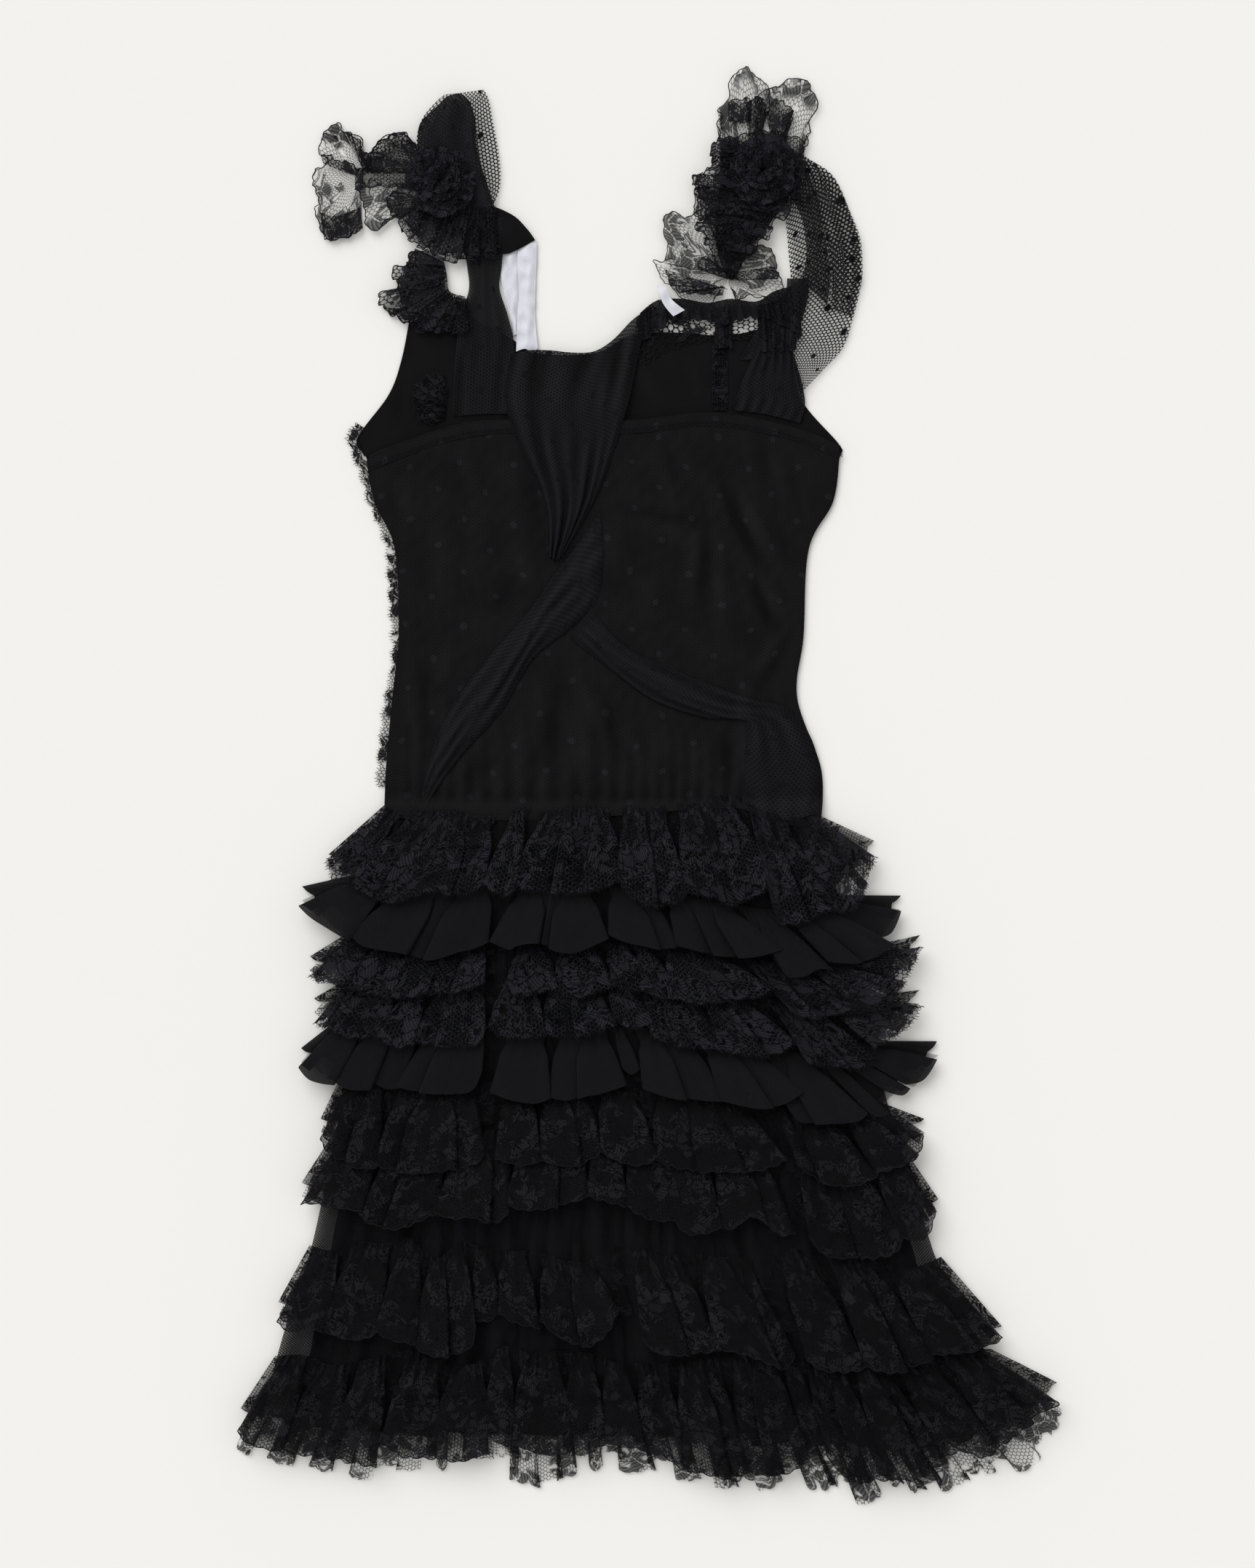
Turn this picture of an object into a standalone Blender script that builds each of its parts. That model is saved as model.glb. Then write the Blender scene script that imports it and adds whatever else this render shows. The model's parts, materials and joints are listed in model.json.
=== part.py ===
"""Ruffle dress, laid flat with its back up.

A knit bodice, two dotted tulle sashes that cross on the back, a tulle skirt with nine ruffles sewn on
one below the other, and shoulder straps trimmed with bows and lace. Sizes are in millimetres until the
meshes are made. X runs across the dress, Y from the hem to the straps and Z up from the table.
"""
import math
from collections import namedtuple

import bmesh
import bpy

MM = 0.001
CENTRE = (-0.5, 10.53)     # middle of the whole dress on the cutting table, which becomes the origin
WALL = 1.2                 # thickness of every cloth wall
SEAM = 0.3                 # gap that parted pieces keep
LAYER = WALL + SEAM        # one layer of cloth on another
WAIST_LAP = 4.0            # how far bodice and skirt lap at the waist
RUFFLE_LAP = 8.0           # how far a ruffle starts above the hem of the one before
FRONT_DROP = 3.0           # how far a front ruffle hangs below the back one
CAMBER = 2.6               # how far the back stands off the front in its middle
EDGE_REST = 10.0           # how far past the skirt's edge a ruffle keeps its height
SIDE_FALL = 14.0           # distance over which it then sinks beside the skirt
CURVE_STEPS = 12
LACE_STEPS = 4             # points along one scallop of the side lace

Point = namedtuple("Point", "x y")
Width = namedtuple("Width", "y left right")
Ruffle = namedtuple("Ruffle", "name cloth seam tip_left h1 h2 h3 h4 h5 tip_right waves lift sway")
Fold = namedtuple("Fold", "x0 y0 x1 y1 height width")
Cloth = namedtuple("Cloth", "red green blue roughness")

CLOTHS = {
    "knit": Cloth(0.012, 0.012, 0.013, 0.85),
    "dotted_tulle": Cloth(0.015, 0.015, 0.015, 0.80),
    "lace": Cloth(0.014, 0.014, 0.020, 0.75),
    "chiffon": Cloth(0.010, 0.010, 0.011, 0.90),
    "tulle": Cloth(0.018, 0.018, 0.020, 0.80),
    "satin": Cloth(0.800, 0.800, 0.820, 0.35),
}

WAIST = [Point(-207, -28), Point(-109, -30), Point(-18, -26), Point(62, -20), Point(96, -31), Point(134, -37)]

# Half outlines of the bodice, a row for each height where its side turns
BODICE = [
    Width(-28, -207, 134), Width(9, -206, 135), Width(66, -201, 116), Width(114, -196, 121),
    Width(182, -199, 125), Width(219, -215, 144), Width(253, -221, 149),
]
BACK_TOP = [Point(-220, 253), Point(-194, 264), Point(-131, 282), Point(-20, 283), Point(48, 289),
            Point(109, 279), Point(149, 264)]
FRONT_TOP = [Point(-189, 355), Point(-142, 353), Point(-88, 336), Point(-42, 336), Point(-12, 362),
             Point(26, 377), Point(110, 370)]
ARMHOLE_LEFT = [Point(-229, 268), Point(-204, 303), Point(-194, 330)]
ARMHOLE_RIGHT = [Point(150, 263), Point(119, 300), Point(112, 339)]

# The skirt flares from the waist to the last band of tulle
SKIRT = [
    Width(-24, -207, 134), Width(-71, -228, 142), Width(-128, -236, 162), Width(-242, -240, 184),
    Width(-299, -250, 204), Width(-372, -266, 224), Width(-429, -285, 255), Width(-462, -294, 270),
]
HEM_STATIONS = (0.0, 0.12, 0.35, 0.60, 0.82, 0.93, 1.0)

# A row for each ruffle: h1 to h5 are its hem's heights at the stations between its two tips
RUFFLES = [
    Ruffle("1", "lace", None, Point(-251, -71), -84, -88, -93, -108, -92, Point(176, -60), 12, 12.0, 4.2),
    Ruffle("2", "chiffon", None, Point(-272, -96), -128, -135, -134, -150, -134, Point(197, -103), 9, 12.5, 4.4),
    Ruffle("3", "lace", None, Point(-266, -151), -168, -164, -167, -182, -168, Point(212, -134), 12, 12.0, 4.2),
    Ruffle("4", "lace", None, Point(-263, -184), -194, -200, -202, -221, -206, Point(212, -177), 12, 12.0, 4.0),
    Ruffle("5", "chiffon", None, Point(-273, -223), -239, -242, -250, -266, -250, Point(226, -217), 9, 12.5, 4.4),
    Ruffle("6", "lace", None, Point(-257, -278), -285, -279, -285, -298, -290, Point(216, -278), 12, 12.0, 4.2),
    Ruffle("7", "lace", None, Point(-272, -328), -339, -332, -351, -364, -356, Point(226, -340), 12, 12.0, 4.4),
    Ruffle("8", "lace", (-369, -380), Point(-290, -421), -432, -418, -442, -444, -446, Point(276, -440),
           13, 12.0, 4.6),
    Ruffle("9", "lace", (-456, -456), Point(-320, -505), -522, -524, -530, -536, -520, Point(319, -484),
           18, 12.0, 4.4),
]
# Two deep folds run down through all the ruffles
GROOVES = [Fold(-127, 0, -127, -540, -5.0, 14.0), Fold(101, 0, 112, -540, -4.0, 12.0)]
# Soft ridges that the stretched knit of the back lies in
BACK_FOLDS = [
    Fold(47, 248, 59, 88, 1.8, 9.0), Fold(67, 237, 119, 134, 1.6, 8.0), Fold(-70, 111, -7, -20, 1.6, 9.0),
    Fold(-109, 191, -87, 145, 1.6, 8.0), Fold(-184, 174, -178, 66, 1.4, 8.0), Fold(73, 100, 76, -20, 1.8, 8.0),
]


def smooth(t):
    t = min(1.0, max(0.0, t))
    return t * t * (3.0 - 2.0 * t)


def mix(a, b, t):
    return a + (b - a) * t


class Curve:
    """A smooth curve through a few points, read by its share of the whole length."""

    def __init__(self, points):
        self.points = [Point(*points[0])]
        ends = [points[0]] + list(points) + [points[-1]]
        for p0, p1, p2, p3 in zip(ends, ends[1:], ends[2:], ends[3:]):
            for step in range(1, CURVE_STEPS + 1):
                self.points.append(self.between(p0, p1, p2, p3, step / CURVE_STEPS))
        self.lengths = [0.0]
        for a, b in zip(self.points, self.points[1:]):
            self.lengths.append(self.lengths[-1] + math.dist(a, b))

    @staticmethod
    def between(p0, p1, p2, p3, t):
        found = []
        for a, b, c, d in zip(p0, p1, p2, p3):
            found.append(0.5 * (2 * b + (c - a) * t + (2 * a - 5 * b + 4 * c - d) * t * t
                                + (3 * b - a - 3 * c + d) * t * t * t))
        return Point(*found)

    def at(self, share):
        goal = self.lengths[-1] * min(1.0, max(0.0, share))
        for i in range(1, len(self.points)):
            if self.lengths[i] >= goal:
                span = self.lengths[i] - self.lengths[i - 1]
                t = (goal - self.lengths[i - 1]) / span if span else 0.0
                a, b = self.points[i - 1], self.points[i]
                return Point(mix(a.x, b.x, t), mix(a.y, b.y, t))
        return self.points[-1]

    def height_at(self, x):
        for a, b in zip(self.points, self.points[1:]):
            if a.x <= x <= b.x:
                return mix(a.y, b.y, (x - a.x) / max(b.x - a.x, 1e-9))
        return self.points[0].y if x < self.points[0].x else self.points[-1].y


def width_at(rows, y):
    """The left and right edge of a panel at one height."""
    rows = sorted(rows, key=lambda row: row.y)
    if y <= rows[0].y:
        return rows[0].left, rows[0].right
    for low, high in zip(rows, rows[1:]):
        if y <= high.y:
            t = (y - low.y) / (high.y - low.y)
            return mix(low.left, high.left, t), mix(low.right, high.right, t)
    return rows[-1].left, rows[-1].right


def fold_height(folds, x, y):
    """What a table of straight soft folds adds at one place."""
    total = 0.0
    for fold in folds:
        dx, dy = fold.x1 - fold.x0, fold.y1 - fold.y0
        t = ((x - fold.x0) * dx + (y - fold.y0) * dy) / (dx * dx + dy * dy)
        t = min(1.0, max(0.0, t))
        away = math.dist((x, y), (fold.x0 + dx * t, fold.y0 + dy * t))
        total += fold.height * math.exp(-(away / fold.width) ** 2)
    return total


def patch(bottom, top, left=(), right=(), columns=8, rows=4, across=None):
    """Points of a panel between four edge curves; left and right hold the points between the corners."""
    shares = across or [i / rows for i in range(rows + 1)]
    low, high = Curve(bottom), Curve(top)
    west = Curve([bottom[0], *left, top[0]])
    east = Curve([bottom[-1], *right, top[-1]])
    grid = []
    for v in shares:
        line = []
        for i in range(columns + 1):
            u = i / columns
            b, t, w, e = low.at(u), high.at(u), west.at(v), east.at(v)
            corners = [mix(mix(bottom[0][k], bottom[-1][k], u), mix(top[0][k], top[-1][k], u), v) for k in (0, 1)]
            line.append(Point(mix(b.x, t.x, v) + mix(w.x, e.x, u) - corners[0],
                              mix(b.y, t.y, v) + mix(w.y, e.y, u) - corners[1]))
        grid.append(line)
    return grid


def cloth_material(cloth):
    """One material for each cloth."""
    found = bpy.data.materials.get(cloth)
    if found:
        return found
    colour = CLOTHS[cloth]
    material = bpy.data.materials.new(cloth)
    material.use_nodes = True
    shader = material.node_tree.nodes["Principled BSDF"]
    shader.inputs["Base Color"].default_value = (colour.red, colour.green, colour.blue, 1.0)
    shader.inputs["Roughness"].default_value = colour.roughness
    shader.inputs["Metallic"].default_value = 0.0
    material.diffuse_color = (colour.red, colour.green, colour.blue, 1.0)
    return material


def wall(name, cloth, grid, height, thickness=WALL, closed=False):
    """A closed wall over a grid of points: height(point, u, v) gives its underside."""
    mesh = bmesh.new()
    layers = []
    for extra in (0.0, thickness):
        layer = []
        for j, line in enumerate(grid):
            across = len(line) if closed else len(line) - 1
            made = []
            for i, p in enumerate(line):
                z = height(p, i / across, j / (len(grid) - 1)) + extra
                made.append(mesh.verts.new(((p.x - CENTRE[0]) * MM, (p.y - CENTRE[1]) * MM, z * MM)))
            layer.append(made)
        layers.append(layer)
    under, over = layers
    rows, columns = len(grid), len(grid[0])
    spans = columns if closed else columns - 1

    def quad(a, b, c, d):
        mesh.faces.new((a, b, c))
        mesh.faces.new((a, c, d))

    for j in range(rows - 1):
        for i in range(spans):
            k = (i + 1) % columns
            quad(over[j][i], over[j][k], over[j + 1][k], over[j + 1][i])
            mesh.faces.new((under[j][k], under[j][i], under[j + 1][k]))
            mesh.faces.new((under[j + 1][k], under[j][i], under[j + 1][i]))
    for i in range(spans):
        k = (i + 1) % columns
        quad(under[0][i], under[0][k], over[0][k], over[0][i])
        quad(under[-1][k], under[-1][i], over[-1][i], over[-1][k])
    if not closed:
        for j in range(rows - 1):
            quad(under[j + 1][0], under[j][0], over[j][0], over[j + 1][0])
            quad(under[j][-1], under[j + 1][-1], over[j + 1][-1], over[j][-1])
    bmesh.ops.recalc_face_normals(mesh, faces=mesh.faces)
    data = bpy.data.meshes.new(name)
    mesh.to_mesh(data)
    mesh.free()
    data.shade_smooth()
    data.set_sharp_from_angle(angle=math.radians(40))
    data.materials.append(cloth_material(cloth))
    piece = bpy.data.objects.new(name, data)
    bpy.context.scene.collection.objects.link(piece)
    return piece


def moved(points, up):
    return [Point(p.x, p.y + up) for p in points]


def trimmed(rows, low, high):
    """The side points of a width table between two heights, from the bottom up."""
    inside = [row for row in sorted(rows, key=lambda row: row.y) if low < row.y < high]
    return [Point(row.left, row.y) for row in inside], [Point(row.right, row.y) for row in inside]


def waist_rise(y):
    """The skirt's walls lie one layer lower at the waist, where they lap the bodice."""
    return smooth((-40.0 - y) / 30.0)


def back_height(x, y):
    """Underside of the back bodice: on the front at its sides, over the skirt at the waist."""
    left, right = width_at(BODICE, y)
    share = min(1.0, max(0.0, (x - left) / (right - left)))
    camber = CAMBER * math.sin(math.pi * share) ** 0.7 if 0.0 < share < 1.0 else 0.0
    edge = smooth(min(share, 1.0 - share) / 0.12)
    waist = smooth((-6.0 - y) / 14.0)
    bodice = LAYER + camber * (1.0 - 0.6 * waist) + fold_height(BACK_FOLDS, x, y) * edge
    return mix(bodice, 3.0 * LAYER + 0.3 * camber * waist, waist)


def make_bodice():
    left, right = trimmed(BODICE, -20, 260)
    low = moved(WAIST, -WAIST_LAP)
    front = patch(low, FRONT_TOP, left + ARMHOLE_LEFT, right + ARMHOLE_RIGHT, columns=10, rows=12)
    wall("front_bodice", "knit", front, flat(0.0))
    shares = [0.0, 0.02, 0.08] + [0.08 + 0.92 * i / 10 for i in range(1, 11)]
    back = patch(WAIST, BACK_TOP, left, right, columns=16, across=shares)
    wall("back_bodice", "knit", back, lambda p, u, v: back_height(p.x, p.y))
    make_side_lace([line[0] for line in front])


def on_back(x, y, layers):
    """A height clear of the back bodice, with a number of cloth layers between."""
    return back_height(x, y) + layers * LAYER


def make_back_band():
    """Turned band along the top of the back."""
    band = patch(moved(BACK_TOP, -11.0), moved(BACK_TOP, -1.0), columns=16, rows=1)
    wall("back_band", "knit", band, lambda p, u, v: on_back(p.x, p.y, 1) + 0.3, thickness=1.0)


def make_skirt():
    shares = [0.0, 0.05, 0.10, 0.22, 0.40, 0.60, 0.80, 1.0]
    bottom = [Point(SKIRT[-1].left, -462), Point(0, -464), Point(SKIRT[-1].right, -462)]
    left, right = trimmed(SKIRT, -460, -26)
    left.reverse()
    right.reverse()
    for name, layer in (("skirt_front", 2), ("skirt_back", 3)):
        grid = patch(moved(WAIST, WAIST_LAP), bottom, left, right, columns=8, across=shares)
        wall(name, "tulle", grid, lambda p, u, v: LAYER * (layer - 1 + waist_rise(p.y)))


def hem_curve(ruffle, drop=0.0):
    """Hem of a ruffle from its left tip to its right tip."""
    heights = (ruffle.tip_left.y, ruffle.h1, ruffle.h2, ruffle.h3, ruffle.h4, ruffle.h5, ruffle.tip_right.y)
    points = []
    for share, height in zip(HEM_STATIONS, heights):
        points.append(Point(mix(ruffle.tip_left.x, ruffle.tip_right.x, share), height - drop))
    return Curve(points)


def seam_curve(ruffle, before):
    """Line where a ruffle is sewn to the skirt."""
    if before is None:
        return Curve(moved(WAIST, -1.5))
    above = hem_curve(before)
    points = []
    for share in HEM_STATIONS:
        if ruffle.seam:
            y = mix(ruffle.seam[0], ruffle.seam[1], share)
            left, right = width_at(SKIRT, y)
            points.append(Point(mix(left, right, share), y))
        else:
            left, right = width_at(SKIRT, above.at(share).y + RUFFLE_LAP)
            x = mix(left, right, share)
            points.append(Point(x, above.height_at(x) + RUFFLE_LAP))
    return Curve(points)


def skirt_top(x, y):
    """Height of the skirt's upper face, falling away beside and below it."""
    left, right = width_at(SKIRT, y)
    outside = max(0.0, left - x - EDGE_REST, x - right - EDGE_REST, SKIRT[-1].y - EDGE_REST - y)
    inside = LAYER * (3.0 + waist_rise(y))
    return mix(2.0 * LAYER, inside, 1.0 - smooth(outside / SIDE_FALL))


def make_back_ruffle(ruffle, before, number):
    """A gathered strip whose waves grow from its seam to its hem."""
    seam, hem = seam_curve(ruffle, before), hem_curve(ruffle)
    columns = ruffle.waves * 5
    rises = (0.0, 0.75, 1.0)
    shares = (0.0, 0.45, 1.0)

    def phase(u):
        drift = 0.11 * math.sin(6.28 * 2.0 * u + number) + 0.07 * math.sin(6.28 * 5.0 * u + 2.1 * number)
        return 2.0 * math.pi * (ruffle.waves * u + drift * ruffle.waves / 9.0)

    grid = []
    for share in shares:
        line = []
        for i in range(columns + 1):
            u = i / columns
            a, b = seam.at(u), hem.at(u)
            fade = smooth(min(u, 1.0 - u) / 0.06)
            dip = 2.0 * math.sin(phase(u)) * fade * share
            line.append(Point(mix(a.x, b.x, share), mix(a.y, b.y, share) - dip))
        grid.append(line)

    def height(p, u, v):
        rise = rises[round(v * (len(rises) - 1))]
        fade = mix(0.3, 1.0, smooth(min(u, 1.0 - u) / 0.08))
        sway = ruffle.sway * (0.86 + 0.14 * math.sin(6.28 * 2.3 * u + 1.7 * number))
        groove = fold_height(GROOVES, p.x, p.y) * fade * rise * 0.5
        return skirt_top(p.x, p.y) + fade * rise * (ruffle.lift + sway * math.sin(phase(u))) + groove

    wall("ruffle_%s_back" % ruffle.name, ruffle.cloth, grid, height)


def make_front_ruffle(ruffle, before, number):
    """The same ruffle on the front, pressed flat on the table under the one above it."""
    seam, hem = seam_curve(ruffle, before), hem_curve(ruffle, FRONT_DROP)
    columns = 9
    lap = RUFFLE_LAP + FRONT_DROP + 4.0
    levels = [(0.0, LAYER), (lap, LAYER), (lap + 6.0, 0.0), (None, 0.0)]
    if before is None:
        levels = [(0.0, 0.0), (None, 0.0)]
    grid = []
    for distance, height in levels:
        line = []
        for i in range(columns + 1):
            u = i / columns
            a, b = seam.at(u), hem.at(u)
            if before is None:
                a = Point(a.x, a.y - WAIST_LAP)
            deep = max(a.y - b.y, 1.0)
            share = 1.0 if distance is None else min(distance / deep, 0.45 if distance < lap + 1 else 0.65)
            line.append(Point(mix(a.x, b.x, share), mix(a.y, b.y, share)))
        grid.append(line)
    wall("ruffle_%s_front" % ruffle.name, ruffle.cloth, grid,
         lambda p, u, v: levels[round(v * (len(levels) - 1))][1])


def make_ruffles():
    before = None
    for number, ruffle in enumerate(RUFFLES):
        make_back_ruffle(ruffle, before, number)
        make_front_ruffle(ruffle, before, number)
        before = ruffle


def make_sashes():
    """Gathered dotted tulle: a drape from the neckline, and two rolls that cross under it."""
    drape = patch([Point(-77, 178), Point(-73, 176), Point(-69, 179)],
                  [Point(-104, 334), Point(-60, 330), Point(-30, 346), Point(-8, 360)],
                  [Point(-80, 219), Point(-92, 265), Point(-103, 300)],
                  [Point(-54, 202), Point(-39, 232), Point(-22, 283), Point(-14, 320)], columns=10, rows=7)

    def drape_height(p, u, v):
        gather = 1.0 * (1.0 + math.sin(2.0 * math.pi * 3.0 * u))
        on_panel = on_back(p.x, p.y, 2) + 0.6 + gather
        return mix(on_panel, 3.0 + gather, smooth((p.y - 290.0) / 40.0))

    wall("neck_drape", "dotted_tulle", drape, drape_height, thickness=1.6)

    roll = patch([Point(-40, 210), Point(-75, 161), Point(-92, 137), Point(-127, 97), Point(-155, 60),
                  Point(-172, 20), Point(-176, -8)],
                 [Point(-41, 139), Point(-64, 117), Point(-92, 94), Point(-115, 54), Point(-144, 23),
                  Point(-166, -6), Point(-171, -18)], columns=12, rows=6)

    def roll_height(p, u, v):
        ridge = 2.4 * math.sin(math.pi * v) + 0.8 * math.sin(4.0 * math.pi * v + 5.0 * u)
        return on_back(p.x, p.y, 1) + 0.5 + ridge * smooth(u / 0.1 + 0.3) * smooth((1.0 - u) / 0.1 + 0.3)

    wall("sash_left", "dotted_tulle", roll, roll_height, thickness=1.6)

    hip = patch([Point(-61, 114), Point(-24, 83), Point(5, 63), Point(44, 50), Point(73, 47), Point(76, 20),
                 Point(76, -14)],
                [Point(-58, 120), Point(-24, 97), Point(16, 86), Point(73, 66), Point(107, 57), Point(124, 30),
                 Point(128, -8)], columns=14, rows=4)

    def hip_height(p, u, v):
        ridge = 1.8 * math.sin(math.pi * v) + 0.5 * math.sin(4.0 * math.pi * v + 4.0 * u)
        return on_back(p.x, p.y, 1) + 0.6 + max(0.0, ridge) * smooth(u / 0.1)

    wall("sash_right", "dotted_tulle", hip, hip_height, thickness=1.6)


def flat(level):
    return lambda p, u, v: level


def waved(level, sway, waves, grows=True):
    """A wavy wall that stays at or above its level."""
    def height(p, u, v):
        share = mix(0.25, 1.0, v) if grows else 1.0
        return level + sway * share * (1.0 + math.sin(2.0 * math.pi * waves * u - 0.5 * math.pi))
    return height


def make_front_trims():
    """Lace that is sewn on the inside of the front and shows above the back."""
    lace = patch([Point(-4, 325), Point(30, 344), Point(84, 342)], [Point(-4, 352), Point(26, 370), Point(84, 368)],
                 columns=8, rows=1)
    wall("neckline_lace", "lace", lace, flat(LAYER), thickness=1.0)
    ruched = patch([Point(50, 295), Point(61, 295)], [Point(50, 338), Point(61, 338)], columns=2, rows=7)
    wall("ruched_trim", "lace", ruched,
         lambda p, u, v: LAYER + 1.2 * (1.0 + math.sin(7.0 * math.pi * v)) * 0.5, thickness=1.4)
    fan = patch([Point(-182, 288), Point(-176, 280), Point(-168, 280)],
                [Point(-182, 312), Point(-170, 318), Point(-157, 312)], [Point(-184, 300)], [Point(-158, 296)],
                columns=8, rows=2)
    wall("scalloped_fan", "lace", fan, waved(LAYER, 0.8, 4), thickness=1.0)
    gathered = patch([Point(66, 293), Point(90, 290), Point(112, 284)], [Point(88, 338), Point(100, 338), Point(108, 338)],
                     columns=8, rows=3)
    wall("gathered_tulle_right", "dotted_tulle", gathered, waved(LAYER, 0.7, 4, grows=False), thickness=1.0)


def make_side_lace(edge):
    """Narrow scalloped lace along the left edge of the front, which shows past its side."""
    edge = [p for p in edge if 0 < p.y < 290]
    grid = []
    for a, b in zip(edge, edge[1:]):
        for step in range(LACE_STEPS):
            t = step / LACE_STEPS
            p = Point(mix(a.x, b.x, t), mix(a.y, b.y, t))
            reach = 3.5 + 4.0 * math.sin(math.pi * t)
            grid.append([Point(p.x - SEAM - reach, p.y), Point(p.x - SEAM - 0.1, p.y)])
    wall("side_lace", "lace", grid, flat(0.0))


def make_left_strap():
    strap = patch([Point(-152, 288), Point(-130, 290), Point(-109, 290)],
                  [Point(-137, 440), Point(-126, 442), Point(-115, 440)],
                  [Point(-155, 339), Point(-144, 382), Point(-144, 408)],
                  [Point(-105, 342), Point(-118, 382), Point(-118, 408)], columns=6, rows=7)
    strap_wave = waved(LAYER, 0.9, 3, grows=False)
    wall("strap_left", "dotted_tulle", strap,
         lambda p, u, v: mix(strap_wave(p, u, v), 3.2, smooth((v - 0.8) / 0.15)), thickness=1.0)
    tab = patch([Point(-112.5, 404), Point(-108, 403), Point(-97, 424)],
                [Point(-112, 446), Point(-104, 444), Point(-92, 428)], columns=3, rows=3)
    wall("strap_tab", "knit", tab, flat(2.9), thickness=1.2)
    back_tape = patch([Point(-117, 360), Point(-107, 360)], [Point(-117, 404), Point(-104, 418)],
                      columns=2, rows=4)
    wall("satin_tape_under", "satin", back_tape, flat(0.0), thickness=1.0)
    tape = patch([Point(-104, 331), Point(-89, 331)], [Point(-104, 427), Point(-94, 427)], columns=2, rows=5)
    wall("satin_tape_left", "satin", tape, flat(LAYER), thickness=1.0)
    ruffle = patch([Point(-206, 374), Point(-186, 357), Point(-158, 347)],
                   [Point(-182, 416), Point(-172, 418), Point(-162, 416)], [Point(-200, 398)],
                   [Point(-150, 374), Point(-160, 392)], columns=15, rows=3)
    wall("strap_ruffle_left", "lace", ruffle, waved(LAYER, 2.2, 5), thickness=1.2)
    loop = patch([Point(-175, 440), Point(-150, 436), Point(-121, 445)],
                 [Point(-162, 538), Point(-147, 543), Point(-128, 542)],
                 [Point(-181, 480), Point(-181, 504), Point(-173, 526)],
                 [Point(-120, 458), Point(-116, 484), Point(-119, 515)], columns=12, rows=5)
    loop_wave = waved(4.6, 1.6, 3, grows=False)
    wall("tulle_loop_left", "dotted_tulle", loop,
         lambda p, u, v: mix(4.6, loop_wave(p, u, v), smooth(v / 0.2)), thickness=1.4)
    bow = patch([Point(-258, 426), Point(-238, 428), Point(-218, 436), Point(-205, 442), Point(-180, 444)],
                [Point(-248, 513), Point(-235, 506), Point(-222, 484), Point(-210, 498), Point(-196, 508),
                 Point(-176, 498)],
                [Point(-262, 448), Point(-259, 479), Point(-255, 502)], [Point(-174, 468)], columns=16, rows=4)

    def bow_height(p, u, v):
        knot = smooth((1.0 - u) / 0.45)
        swell = 3.0 * (1.0 + math.sin(2.0 * math.pi * 4.0 * u - 0.5 * math.pi)) * abs(v - 0.45) * 2.0
        return swell * knot + 3.0 * smooth((u - 0.8) / 0.2)

    wall("lace_bow_left", "lace", bow, bow_height, thickness=1.2)


def rosette(name, centre, radius, level, petals):
    """A gathered round of lace: waves grow from its middle to its rim."""
    columns = petals * 4
    grid = []
    for ring in (0.12, 0.5, 1.0):
        line = []
        for i in range(columns):
            angle = 2.0 * math.pi * i / columns
            reach = radius * ring * (1.0 + 0.06 * math.sin(petals * angle) * ring + 0.05 * math.sin(2.0 * angle))
            line.append(Point(centre.x + reach * math.cos(angle), centre.y + reach * math.sin(angle)))
        grid.append(line)

    def height(p, u, v):
        wave = 1.0 + math.sin(2.0 * math.pi * petals * u)
        return level + 2.0 * math.sin(math.pi * v) + 2.4 * v * wave

    wall(name, "lace", grid, height, thickness=1.2, closed=True)


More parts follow.
